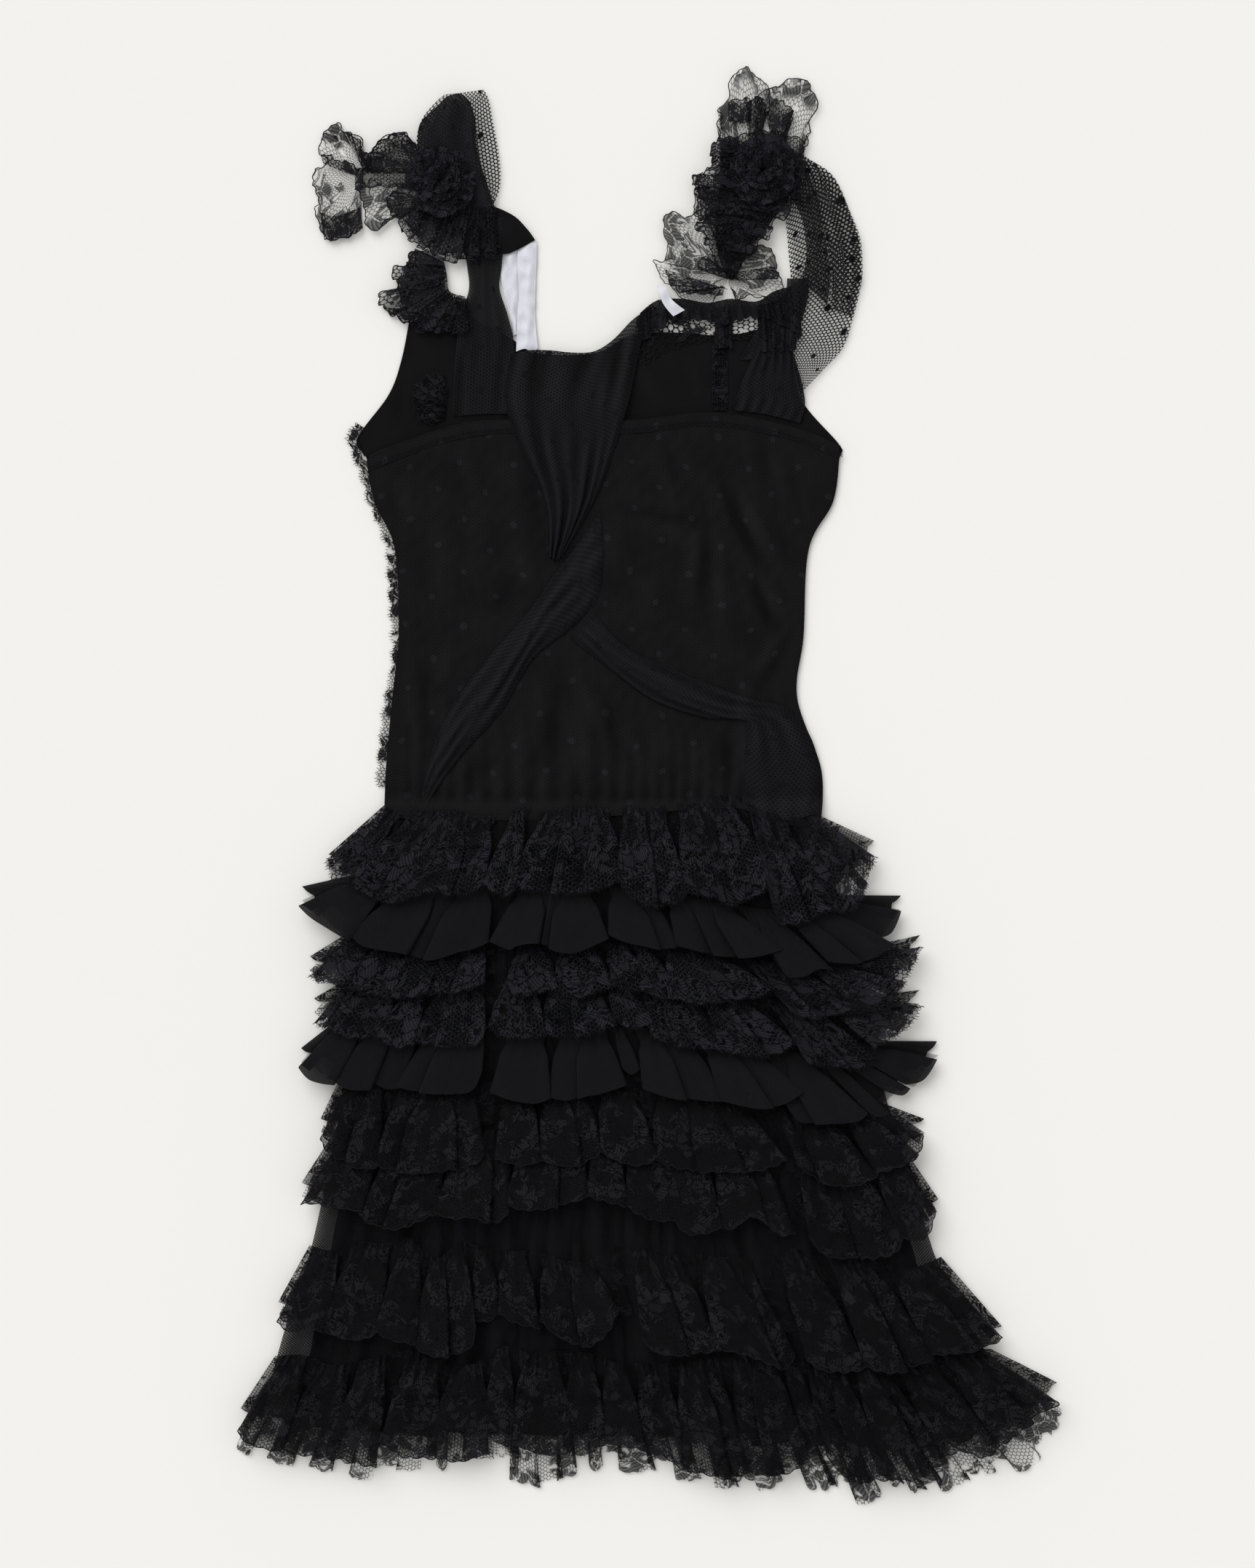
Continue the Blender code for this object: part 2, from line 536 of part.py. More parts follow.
def make_right_strap():
    strap = patch([Point(88, 340), Point(98, 340), Point(109, 340)], [Point(62, 488), Point(77, 490), Point(92, 488)],
                  [Point(86, 365), Point(80, 385), Point(68, 420), Point(60, 450)],
                  [Point(109, 366), Point(106, 385), Point(96, 420), Point(92, 450)], columns=6, rows=8)
    wall("strap_right", "dotted_tulle", strap, waved(LAYER, 0.6, 2, grows=False), thickness=1.0)
    tape = patch([Point(5, 372), Point(18, 365)], [Point(11, 384), Point(23, 377)], columns=2, rows=2)
    wall("satin_tape_right", "satin", tape, flat(2.0 * LAYER), thickness=1.0)
    fan_left = patch([Point(4, 403), Point(24, 392), Point(62, 386)], [Point(12, 446), Point(26, 440), Point(50, 438)],
                     [Point(8, 424)], [Point(60, 412)], columns=15, rows=2)
    fan_wave = waved(LAYER, 1.8, 4)
    wall("lace_fan_left", "lace", fan_left,
         lambda p, u, v: mix(fan_wave(p, u, v), 5.3, smooth((u - 0.6) / 0.25)), thickness=1.0)
    fan_right = patch([Point(64, 382), Point(86, 376), Point(104, 378)],
                      [Point(72, 414), Point(88, 418), Point(100, 408)], [Point(66, 398)], [Point(103, 392)],
                      columns=15, rows=2)
    wall("lace_fan_right", "lace", fan_right, waved(4.0, 0.7, 4), thickness=1.0)
    column = patch([Point(56, 396), Point(62, 395)], [Point(54, 503), Point(82, 510), Point(112, 500)],
                   [Point(38, 446), Point(36, 474)], [Point(92, 434), Point(114, 462)], columns=14, rows=5)
    wall("strap_ruffle_right", "lace", column, waved(6.8, 2.2, 4), thickness=1.4)
    bow = patch([Point(53, 496), Point(70, 500), Point(92, 498), Point(118, 490)],
                [Point(70, 560), Point(84, 558), Point(96, 536), Point(110, 553), Point(128, 545)],
                [Point(56, 528), Point(62, 548)], [Point(127, 512), Point(131, 530)], columns=16, rows=4)
    bow_wave = waved(0.0, 2.6, 4)
    wall("lace_bow_right", "lace", bow,
         lambda p, u, v: bow_wave(p, u, v) + 3.6 * (1.0 - smooth((p.y - 506.0) / 14.0)))
    loop = patch([Point(121, 306), Point(114, 339), Point(112, 385), Point(111, 425), Point(104, 450),
                  Point(90, 478)],
                 [Point(124, 304), Point(141, 322), Point(158, 353), Point(167, 399), Point(158, 445),
                  Point(141, 476), Point(96, 492)], columns=14, rows=5)
    wall("tulle_loop_right", "dotted_tulle", loop, right_loop_height)


def right_loop_height(p, u, v):
    """The right loop lies on the table, on the front at its lower end and on the strap at its upper one."""
    if p.y < 390:
        level = LAYER * (1.0 - smooth((p.x - 124.0) / 10.0))
        fold = 1.0
    else:
        level = 3.3 * (1.0 - smooth((p.x - 98.0) / 14.0))
        fold = smooth((p.x - 98.0) / 14.0)
    return level + 0.9 * fold * (1.0 + math.sin(4.0 * math.pi * v - 0.5 * math.pi))


def make_rosettes():
    rosette("rosette_left", Point(-160, 474), 29.0, 9.8, 9)
    rosette("rosette_right", Point(84, 470), 27.0, 12.0, 9)


def main():
    for old in list(bpy.data.objects):
        bpy.data.objects.remove(old, do_unlink=True)
    make_bodice()
    make_back_band()
    make_skirt()
    make_ruffles()
    make_sashes()
    make_front_trims()
    make_left_strap()
    make_right_strap()
    make_rosettes()


main()
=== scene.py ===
# %% [markdown]
# # A ruffle dress, laid flat
#
# This lesson dresses the solids of a small ruffle dress in cloth. The dress lies on a pale table with its
# back up: a knit bodice under dotted tulle, two twisted sashes, nine ruffles of lace and chiffon, and straps
# with bows of sheer lace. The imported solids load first. They say where every piece goes, and stay as they
# are.

# %% Load the solids
import json
import math
from collections import namedtuple

import bpy
import numpy as np
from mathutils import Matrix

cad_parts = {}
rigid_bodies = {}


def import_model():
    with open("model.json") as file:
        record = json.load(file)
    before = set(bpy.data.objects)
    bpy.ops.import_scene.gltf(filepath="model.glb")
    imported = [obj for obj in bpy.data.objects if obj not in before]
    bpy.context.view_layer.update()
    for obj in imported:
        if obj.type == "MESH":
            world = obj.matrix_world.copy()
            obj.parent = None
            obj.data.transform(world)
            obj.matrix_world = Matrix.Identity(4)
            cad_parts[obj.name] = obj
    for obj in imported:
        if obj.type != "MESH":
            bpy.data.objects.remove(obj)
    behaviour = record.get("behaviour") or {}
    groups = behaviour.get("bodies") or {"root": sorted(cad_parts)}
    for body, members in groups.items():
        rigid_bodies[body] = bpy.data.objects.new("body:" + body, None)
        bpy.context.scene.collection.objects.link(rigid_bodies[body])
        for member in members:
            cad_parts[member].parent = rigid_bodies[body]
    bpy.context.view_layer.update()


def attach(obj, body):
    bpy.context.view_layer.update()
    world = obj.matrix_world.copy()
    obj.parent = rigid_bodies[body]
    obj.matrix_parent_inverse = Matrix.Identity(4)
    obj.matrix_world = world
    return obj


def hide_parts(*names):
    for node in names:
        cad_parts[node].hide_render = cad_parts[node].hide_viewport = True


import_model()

# %% [markdown]
# ## Measures
#
# A pattern maker thinks in millimetres on a cutting table. All tables below hold such millimetres: x runs
# across the dress, y from the hem up to the straps and z up from the table. One step at the end of each
# piece turns them into metres around the middle of the dress.

# %% Measures of the pattern
MM = 0.001
CENTRE = np.array([-0.5, 10.53, 0.0])      # middle of the dress on the cutting table
WALL = 1.2                                 # thickness of the solids' cloth walls
LAYER = 1.5                                # one layer of cloth on another
PHOTO_CENTRE = (-16.8, -1.7)               # point that the camera looks at
PHOTO_HEIGHT = 1228.9                      # how much of the table the picture shows, top to bottom


def place(points):
    """Metres around the middle of the dress from pattern millimetres."""
    return (np.asarray(points, float) - CENTRE) * MM


def linear(code):
    """Linear red, green, blue and alpha of an sRGB hex colour."""
    parts = [int(code[i:i + 2], 16) / 255 for i in (1, 3, 5)]
    return [c / 12.92 if c <= 0.04045 else ((c + 0.055) / 1.055) ** 2.4 for c in parts] + [1.0]


print("picture shows %.0f mm from top to bottom" % PHOTO_HEIGHT)

# %% [markdown]
# ## Table, light and camera
#
# The dress was photographed from straight above on an off-white ground in flat, soft light. A plane stands
# for the table. An even white sky gives the flat part of the light, and one large soft lamp, so far away
# that it lights the table evenly, adds the direction that shows the folds. The camera stands high up with a
# long lens, because that keeps the outline true.

# %% Table
TABLE_HALF = 4.0           # metres from the middle of the table to each of its sides
TABLE_TOP = -0.0004        # just under the dress, so that the two faces don't flicker


def show(name, data):
    """A new object in the scene."""
    thing = bpy.data.objects.new(name, data)
    bpy.context.scene.collection.objects.link(thing)
    return thing


bpy.context.scene.view_settings.view_transform = "Standard"
table_mesh = bpy.data.meshes.new("table")
table_mesh.from_pydata([(x * TABLE_HALF, y * TABLE_HALF, TABLE_TOP) for x, y in ((-1, -1), (1, -1), (1, 1),
                                                                                 (-1, 1))],
                       [], [(0, 1, 2, 3)])
show("table", table_mesh)
print("table %.0f m wide" % (2 * TABLE_HALF))

# %% Camera
LENS = 85.0        # millimetres, like the sensor
SENSOR = 36.0
camera_data = bpy.data.cameras.new("camera")
camera_data.lens = LENS
camera_data.sensor_width = SENSOR
camera_data.clip_end = 20.0
camera = show("camera", camera_data)
bpy.context.scene.camera = camera
camera.location = place((*PHOTO_CENTRE, PHOTO_HEIGHT * LENS / SENSOR))
print("camera stands %.2f m above the table" % camera.location.z)

# %% Light
SKY_STRENGTH = 0.60
SUN_STRENGTH = 1.75
SUN_SPREAD = 50            # degrees of sky that the lamp fills; a wide lamp casts soft shadows
world = bpy.data.worlds.new("sky")
bpy.context.scene.world = world
world.use_nodes = True
sky = world.node_tree.nodes["Background"]
sky.inputs["Color"].default_value = linear("#FFFFFF")
sky.inputs["Strength"].default_value = SKY_STRENGTH
lamp_data = bpy.data.lights.new("lamp", "SUN")
lamp_data.energy = SUN_STRENGTH
lamp_data.angle = math.radians(SUN_SPREAD)
lamp = show("lamp", lamp_data)
lamp.location = (-1.6, 2.2, 3.0)
lamp.rotation_euler = (math.radians(-34), math.radians(-28), 0)      # from the upper left
print("sky %.2f, lamp %.2f" % (SKY_STRENGTH, SUN_STRENGTH))

# %% [markdown]
# ## Cloths
#
# Every cloth is a small network of shader nodes that reads the piece's own UV map, "cloth". That map holds
# millimetres on the flat cloth, so a net cell or a flower keeps its real size and runs along with every
# fold. Net and lace are see-through: their Alpha socket is one where there is thread and low in the holes.
# The colour is multiplied by the mesh's attribute "relief", which is low in a crease and high on a fold, so
# that shade is painted into the creases and light onto the folds.

# %% Helper that adds a node
def add(tree, kind, links=None, **settings):
    """Adds a node with its settings and inputs; a node as a source stands for its first output."""
    node = tree.nodes.new(kind)
    for key, value in settings.items():
        setattr(node, key, value)
    for socket, source in (links or {}).items():
        if isinstance(source, bpy.types.Node):
            source = source.outputs[0]
        if isinstance(source, bpy.types.NodeSocket):
            tree.links.new(source, node.inputs[socket])
        else:
            node.inputs[socket].default_value = source
    return node


# A Mix node of colours has its factor at socket 0, its two colours at 6 and 7 and its result at output 2.
MIX = {"data_type": "RGBA"}
MULTIPLY = {"data_type": "RGBA", "blend_type": "MULTIPLY"}


def surface(name, **gloss):
    """A new material with its tree and its shader; gloss names the shader's own sockets."""
    material = bpy.data.materials.new(name)
    material.use_nodes = True
    shader = material.node_tree.nodes["Principled BSDF"]
    for title, value in gloss.items():
        shader.inputs[title.replace("_", " ")].default_value = value
    return material, material.node_tree, shader


def cloth_shader(name, roughness, specular, sheen):
    """A surface for cloth, with a node that gives the cloth's millimetres."""
    material, tree, shader = surface(name, Roughness=roughness, Specular_IOR_Level=specular,
                                     Sheen_Weight=sheen,
                                     Sheen_Roughness=0.5)
    return material, tree, shader, add(tree, "ShaderNodeUVMap", uv_map="cloth")


def finish_cloth(tree, shader, colour, painted_fold_shading, cover, height, strength, depth):
    """Dyes a cloth, paints shade into its creases and light onto its folds, opens it by its cover and raises
    its threads.
    """
    # relief is low in a crease and high on a fold; it paints shade into the creases and light onto the folds
    relief = add(tree, "ShaderNodeAttribute", attribute_name="relief")
    light = add(tree, "ShaderNodeMapRange", {"Value": relief.outputs["Fac"], "From Min": -1.0,
                                             "From Max": 1.0,
                                             "To Min": 1.0 - painted_fold_shading, "To Max": 1.0 + painted_fold_shading})
    # dyed is the cloth's colour with the painted shade and painted light multiplied in
    dyed = add(tree, "ShaderNodeMix", {0: 1.0, 6: colour, 7: light}, **MULTIPLY)
    tree.links.new(dyed.outputs[2], shader.inputs["Base Color"])
    if cover:
        tree.links.new(cover.outputs[0], shader.inputs["Alpha"])
    if height:
        bump = add(tree, "ShaderNodeBump", {"Height": height, "Strength": strength, "Distance": depth})
        tree.links.new(bump.outputs[0], shader.inputs["Normal"])


# %% Net ground
def net_holes(tree, uv, cell, edge0, edge1):
    """One in the holes of a net of six-sided cells and zero on its threads; cell is in millimetres."""
    total = None
    for degrees in (0, 60, 120):
        k = 4 * math.pi / (math.sqrt(3) * cell)
        direction = (k * math.cos(math.radians(degrees)), k * math.sin(math.radians(degrees)), 0)
        along = add(tree, "ShaderNodeVectorMath", {0: uv, 1: direction}, operation="DOT_PRODUCT")
        wave = add(tree, "ShaderNodeMath", {0: along.outputs["Value"]}, operation="COSINE")
        total = add(tree, "ShaderNodeMath", {0: total, 1: wave}, operation="ADD") if total else wave
    return add(tree, "ShaderNodeMapRange", {"Value": total, "From Min": edge0, "From Max": edge1})


# %% [markdown]
# Raschel lace is knitted from fine thread: an open six-sided net, and petals filled with a closer hatched
# stitch inside a thicker outline. Over the pale table the net reads light grey and the petals dark grey.
# Over black cloth it is the other way round: the petals catch the light and the net sinks into the dark.
# Petals are cells of a Voronoi pattern whose outlines are bent by a soft noise. Each cell has a random
# direction of its own for the hatch. A slow noise says where the petals stand close and where the net is
# bare. The real net cells are about 1.9 mm across. They are drawn at 2.6 to 3.6 mm, and at 5 mm for the
# eyelets of the neckline, because finer cells blur to an even grey in the picture.

# %% Petals of the lace
EYELET_CHANCE = 0.6      # this share of the petals has a small round hole at its middle
HATCH_PITCH = 2.4        # millimetres between the lines of the closer stitch


def lace_petals(tree, uv, petal, bare):
    """Where the lace is solid, its outlines, eyelets and hatch; petal is in millimetres, bare from 0 to 1."""
    bend = add(tree, "ShaderNodeTexNoise", {"Vector": uv, "Scale": 0.7 / petal, "Detail": 1.0})
    spread = add(tree, "ShaderNodeVectorMath", {0: bend.outputs["Color"], "Scale": 2.6 * petal},
                 operation="SCALE")
    bent = add(tree, "ShaderNodeVectorMath", {0: uv, 1: spread}, operation="ADD")
    scaled = add(tree, "ShaderNodeVectorMath", {0: bent, 1: (0.62 / petal, 1.0 / petal, 0.0)},
                 operation="MULTIPLY")
    cells, border = (add(tree, "ShaderNodeTexVoronoi", {"Vector": scaled, "Scale": 1.0},
                         voronoi_dimensions="2D",
                         feature=feature) for feature in ("F1", "DISTANCE_TO_EDGE"))
    chance = add(tree, "ShaderNodeSeparateColor", {0: cells.outputs["Color"]})
    grove = add(tree, "ShaderNodeTexNoise", {"Vector": uv, "Scale": 0.36 / petal, "Detail": 0.0})
    full = add(tree, "ShaderNodeMath", {0: chance.outputs["Green"], 1: 0.3, 2: grove},
               operation="MULTIPLY_ADD")
    here = add(tree, "ShaderNodeMapRange", {"Value": full, "From Min": bare + 0.12, "From Max": bare + 0.16})
    inside = add(tree, "ShaderNodeMapRange",
                 {"Value": border.outputs["Distance"], "From Min": 0.05, "From Max": 0.09})
    solid = add(tree, "ShaderNodeMath", {0: inside, 1: here}, operation="MULTIPLY")
    rim = add(tree, "ShaderNodeMapRange", {"Value": border.outputs["Distance"], "From Min": 0.17,
                                           "From Max": 0.10})
    outline = add(tree, "ShaderNodeMath", {0: rim, 1: solid}, operation="MULTIPLY")
    centre = add(tree, "ShaderNodeMapRange", {"Value": cells.outputs["Distance"], "From Min": 0.26,
                                              "From Max": 0.16})
    picked = add(tree, "ShaderNodeMath", {0: chance.outputs["Red"], 1: EYELET_CHANCE}, operation="LESS_THAN")
    eyelet = add(tree, "ShaderNodeMath", {0: centre, 1: picked}, operation="MULTIPLY")
    filled = add(tree, "ShaderNodeMath", {0: 1.0, 1: eyelet}, operation="SUBTRACT")
    solid = add(tree, "ShaderNodeMath", {0: solid, 1: filled}, operation="MULTIPLY")
    angle = add(tree, "ShaderNodeMath", {0: chance.outputs["Red"], 1: math.pi}, operation="MULTIPLY")
    turned = add(tree, "ShaderNodeVectorRotate", {"Vector": uv, "Angle": angle}, rotation_type="Z_AXIS")
    across = add(tree, "ShaderNodeSeparateXYZ", {0: turned})
    steps = add(tree, "ShaderNodeMath", {0: across.outputs["X"], 1: 2 * math.pi / HATCH_PITCH},
                operation="MULTIPLY")
    hatch = add(tree, "ShaderNodeMath", {0: steps}, operation="SINE")
    return solid, outline, eyelet, hatch, chance.outputs["Blue"]


# %% Lace
HOLE_SHADE = "#020203"      # what is left of the light that goes into a hole of the net


def make_lace(name, thread, petal_colour, petal_cover, net_cover, hole_cover, petal, bare, cell):
    """Raschel lace; the covers say how much light its petals, net threads and net holes stop."""
    material, tree, shader, uv = cloth_shader(name, roughness=0.62, specular=0.07, sheen=0.01)
    holes = net_holes(tree, uv, cell, -0.98, -0.5)
    solid, outline, eyelet, hatch, chance = lace_petals(tree, uv, petal, bare)
    holes = add(tree, "ShaderNodeMath", {0: holes, 1: eyelet}, operation="MAXIMUM")
    filled = add(tree, "ShaderNodeMath", {0: hatch, 1: 0.12, 2: petal_cover}, operation="MULTIPLY_ADD")
    petals = add(tree, "ShaderNodeMath", {0: solid, 1: filled}, operation="MULTIPLY")
    ground = add(tree, "ShaderNodeMapRange", {"Value": holes, "To Min": net_cover, "To Max": hole_cover})
    most = add(tree, "ShaderNodeMath", {0: petals, 1: ground}, operation="MAXIMUM")
    edged = add(tree, "ShaderNodeMath", {0: outline, 1: min(1.0, petal_cover + 0.25)}, operation="MULTIPLY")
    cover = add(tree, "ShaderNodeMath", {0: most, 1: edged}, operation="MAXIMUM", use_clamp=True)
    net = add(tree, "ShaderNodeMix", {0: holes, 6: linear(thread), 7: linear(HOLE_SHADE)}, **MIX)
    shade = add(tree, "ShaderNodeMix", {0: solid, 6: net.outputs[2], 7: linear(petal_colour)}, **MIX)
    lit = add(tree, "ShaderNodeMath", {0: hatch, 1: 0.28, 2: 0.72}, operation="MULTIPLY_ADD")
    varied = add(tree, "ShaderNodeMath", {0: chance, 1: 0.4, 2: lit}, operation="MULTIPLY_ADD")
    hatched = add(tree, "ShaderNodeMix", {0: 1.0, 6: shade.outputs[2], 7: varied}, **MULTIPLY)
    relief = add(tree, "ShaderNodeMath", {0: solid, 1: 0.5, 2: outline}, operation="MULTIPLY_ADD")
    woven = add(tree, "ShaderNodeMath", {0: hatch, 1: 0.15, 2: relief}, operation="MULTIPLY_ADD")
    finish_cloth(tree, shader, hatched.outputs[2], painted_fold_shading=0.35, cover=cover, height=woven, strength=0.6,
                 depth=0.0006)
    return material


# thread, petals, what petals, threads and holes stop of the light, petal in mm, bareness, net cell in mm
LACE = make_lace("raschel_lace", "#101015", "#16161B", 0.97, 0.97, 0.45, 8.0, 0.44, 3.6)
FLORAL_LACE = make_lace("floral_raschel_lace", "#0A0A0D", "#121215", 0.97, 0.97, 0.60, 6.5, 0.52, 2.8)
DOUBLE_LACE = make_lace("raschel_lace_doubled", "#0B0B0E", "#151519", 0.96, 0.95, 0.40, 9.0, 0.42, 3.4)
UNDER_LACE = make_lace("raschel_lace_in_shadow", "#08080A", "#0B0B0E", 0.97, 0.95, 0.60, 8.0, 0.44, 3.0)
ROSETTE_LACE = make_lace("rosette_lace", "#121217", "#1A1A20", 0.97, 0.97, 0.60, 8.0, 0.40, 3.0)
LINED_LACE = make_lace("lined_raschel_lace", "#0C0C10", "#121216", 1.0, 1.0, 0.96, 9.0, 0.42, 3.4)
SHEER_LACE = make_lace("sheer_raschel_lace", "#0A0A0D", "#131317", 0.78, 0.70, 0.04, 10.0, 0.42, 3.0)
BOW_LACE = make_lace("sheer_bow_lace", "#0C0C0F", "#131317", 0.78, 0.66, 0.02, 12.0, 0.51, 3.2)
EYELET_LACE = make_lace("eyelet_lace", "#0B0B0D", "#121216", 0.98, 1.0, 0.08, 9.0, 0.55, 5.0)
print("lace for ruffles, bows and the neckline")

# %% [markdown]
# Bobbinet tulle is the plain net on its own. The dotted kind carries small woven spots about 5 mm across, in
# staggered rows. One layer stops about half the light, so a loop of two layers reads dark grey over the
# table, with the spots nearly black.

# %% Tulle, plain and dotted
DOT_PITCH = 36.0        # millimetres; rows are staggered, so neighbours are 25 mm apart
DOT_RADIUS = 2.4


def woven_dots(tree, uv, pitch):
    """One in small round spots in staggered rows, slightly out of line as on stretched cloth."""
    stray = add(tree, "ShaderNodeTexNoise", {"Vector": uv, "Scale": 0.011, "Detail": 0.0})
    pull = add(tree, "ShaderNodeVectorMath", {0: stray.outputs["Color"], "Scale": 26.0}, operation="SCALE")
    pulled = add(tree, "ShaderNodeVectorMath", {0: uv, 1: pull}, operation="ADD")
    nearest = None
    for shift in (0.0, pitch / 2):
        moved = add(tree, "ShaderNodeVectorMath", {0: pulled, 1: (shift, shift, 0.0)}, operation="ADD")
        corner = add(tree, "ShaderNodeVectorMath", {0: moved, 1: (pitch, pitch, 1.0)}, operation="SNAP")
        local = add(tree, "ShaderNodeVectorMath", {0: moved, 1: corner}, operation="SUBTRACT")
        flat = add(tree, "ShaderNodeVectorMath", {0: local, 1: (1.0, 1.0, 0.0)}, operation="MULTIPLY")
        away = add(tree, "ShaderNodeVectorMath", {0: flat, 1: (pitch / 2, pitch / 2, 0.0)},
                   operation="DISTANCE")
        nearest = add(tree, "ShaderNodeMath", {0: nearest, 1: away.outputs["Value"]},
                      operation="MINIMUM") if nearest else away.outputs["Value"]
    return add(tree, "ShaderNodeMapRange",
               {"Value": nearest, "From Min": DOT_RADIUS + 0.4, "From Max": DOT_RADIUS - 0.2})


def make_tulle(name, colour, thread_cover, hole_cover, cell, dots):
    """Bobbinet, with woven spots if dots is true."""
    material, tree, shader, uv = cloth_shader(name, roughness=0.7, specular=0.06, sheen=0.01)
    holes = net_holes(tree, uv, cell, -0.75, 0.15)
    cover = add(tree, "ShaderNodeMapRange", {"Value": holes, "To Min": thread_cover, "To Max": hole_cover})
    tint = add(tree, "ShaderNodeMapRange", {"Value": holes, "To Min": 1.25, "To Max": 0.65})
    shade = add(tree, "ShaderNodeMix", {0: 1.0, 6: linear(colour), 7: tint}, **MULTIPLY)
    dot = woven_dots(tree, uv, DOT_PITCH) if dots else None
    if dots:
        cover = add(tree, "ShaderNodeMath", {0: cover, 1: dot}, operation="MAXIMUM")
        shade = add(tree, "ShaderNodeMix", {0: dot, 6: shade.outputs[2], 7: linear("#0C0C0F")}, **MIX)
    finish_cloth(tree, shader, shade.outputs[2], painted_fold_shading=0.5, cover=cover, height=dot, strength=0.4,
                 depth=0.0005)
    return material


# colour, what threads and holes stop of the light, net cell in mm, and whether it has the woven spots
TULLE = make_tulle("bobbinet_tulle", "#0C0C0F", 0.85, 0.35, 2.0, False)
DOTTED = make_tulle("dotted_tulle", "#101012", 0.98, 0.05, 3.2, True)
DOUBLE_DOTTED = make_tulle("dotted_tulle_doubled", "#0F0F11", 0.99, 0.55, 3.2, True)
DENSE_DOTTED = make_tulle("dotted_tulle_gathered", "#121214", 1.0, 0.90, 2.8, True)
print("dots %.1f mm across, %.0f mm apart" % (2 * DOT_RADIUS, DOT_PITCH / math.sqrt(2)))

# %% [markdown]
# The bodice is a stretch jersey with dotted tulle stretched over it. From a distance the two nets make a
# fine twill of light and dark. Chiffon is a plain weave of hard-twisted thread: matt, even and slightly
# see-through, so that one layer over the table is grey and three are black. The tape is white satin, smooth
# along its weft.

# %% Jersey, chiffon and satin
BODICE_DOT_PITCH = 44.0     # the tulle is stretched over the jersey, so its spots stand farther apart
BODICE_NET = 2.6            # millimetres, as the cells of the other nets


def sine_rows(tree, uv, way):
    """Rows of threads as a sine wave; way holds radians for each millimetre along x, y and z."""
    along = add(tree, "ShaderNodeVectorMath", {0: uv, 1: way}, operation="DOT_PRODUCT")
    return add(tree, "ShaderNodeMath", {0: along.outputs["Value"]}, operation="SINE")


def make_jersey(name, colour, spot, dots):
    """Knit jersey; with dots it has dotted tulle stretched over it."""
    material, tree, shader, uv = cloth_shader(name, roughness=0.78, specular=0.04, sheen=0.01)
    twill, crossed = sine_rows(tree, uv, (2.9, 2.1, 0.0)), sine_rows(tree, uv, (-2.6, 3.3, 0.0))
    weave = add(tree, "ShaderNodeMath", {0: twill, 1: crossed}, operation="MULTIPLY")
    cloud = add(tree, "ShaderNodeTexNoise", {"Vector": uv, "Scale": 0.03, "Detail": 3.0})
    shade = add(tree, "ShaderNodeMath", {0: weave, 1: 0.22, 2: 0.75}, operation="MULTIPLY_ADD")
    shaded = add(tree, "ShaderNodeMath", {0: cloud.outputs[0], 1: 0.5, 2: shade}, operation="MULTIPLY_ADD")
    colour_now = linear(colour)
    height = weave
    if dots:
        net = add(tree, "ShaderNodeMath", {0: net_holes(tree, uv, BODICE_NET, -0.95, -0.1), 1: -0.30,
                                           2: shaded},
                  operation="MULTIPLY_ADD")
        shaded = add(tree, "ShaderNodeMath", {0: net, 1: 0.12}, operation="ADD")
        dot = woven_dots(tree, uv, BODICE_DOT_PITCH)
        colour_now = add(tree, "ShaderNodeMix", {0: dot, 6: linear(colour), 7: linear(spot)},
                         **MIX).outputs[2]
        height = add(tree, "ShaderNodeMath", {0: dot, 1: 2.0, 2: weave}, operation="MULTIPLY_ADD")
    final = add(tree, "ShaderNodeMix", {0: 1.0, 6: colour_now, 7: shaded}, **MULTIPLY)
    finish_cloth(tree, shader, final.outputs[2], painted_fold_shading=0.42, cover=None, height=height, strength=0.35,
                 depth=0.0003)
    return material


def make_chiffon(name, colour, cover):
    """Plain weave of hard-twisted thread, drawn at 1.4 mm where the real one has 0.25 mm."""
    material, tree, shader, uv = cloth_shader(name, roughness=0.85, specular=0.08, sheen=0.02)
    over, under = sine_rows(tree, uv, (4.5, 0.0, 0.0)), sine_rows(tree, uv, (0.0, 4.5, 0.0))
    weave = add(tree, "ShaderNodeMath", {0: over, 1: under}, operation="MULTIPLY")
    covered = add(tree, "ShaderNodeMath", {0: weave, 1: 0.06, 2: cover}, operation="MULTIPLY_ADD",
                  use_clamp=True)
    shade = add(tree, "ShaderNodeMath", {0: weave, 1: 0.10, 2: 1.0}, operation="MULTIPLY_ADD")
    final = add(tree, "ShaderNodeMix", {0: 1.0, 6: linear(colour), 7: shade}, **MULTIPLY)
    finish_cloth(tree, shader, final.outputs[2], painted_fold_shading=0.12, cover=covered, height=weave, strength=0.2,
                 depth=0.0002)
    return material


def make_satin(name, colour):
    """White satin: smooth, with a soft sheen and faint weft lines."""
    material, tree, shader, uv = cloth_shader(name, roughness=0.38, specular=0.5, sheen=0.1)
    lines = sine_rows(tree, uv, (0.0, 5.0, 0.0))
    cloud = add(tree, "ShaderNodeTexNoise", {"Vector": uv, "Scale": 0.12, "Detail": 3.0})
    tone = add(tree, "ShaderNodeMapRange", {"Value": cloud.outputs[0], "To Min": 0.86, "To Max": 1.06})
    final = add(tree, "ShaderNodeMix", {0: 1.0, 6: linear(colour), 7: tone}, **MULTIPLY)
    height = add(tree, "ShaderNodeMath", {0: cloud.outputs[0], 1: 6.0, 2: lines}, operation="MULTIPLY_ADD")
    finish_cloth(tree, shader, final.outputs[2], painted_fold_shading=0.05, cover=None, height=height, strength=0.25,
                 depth=0.0004)
    return material


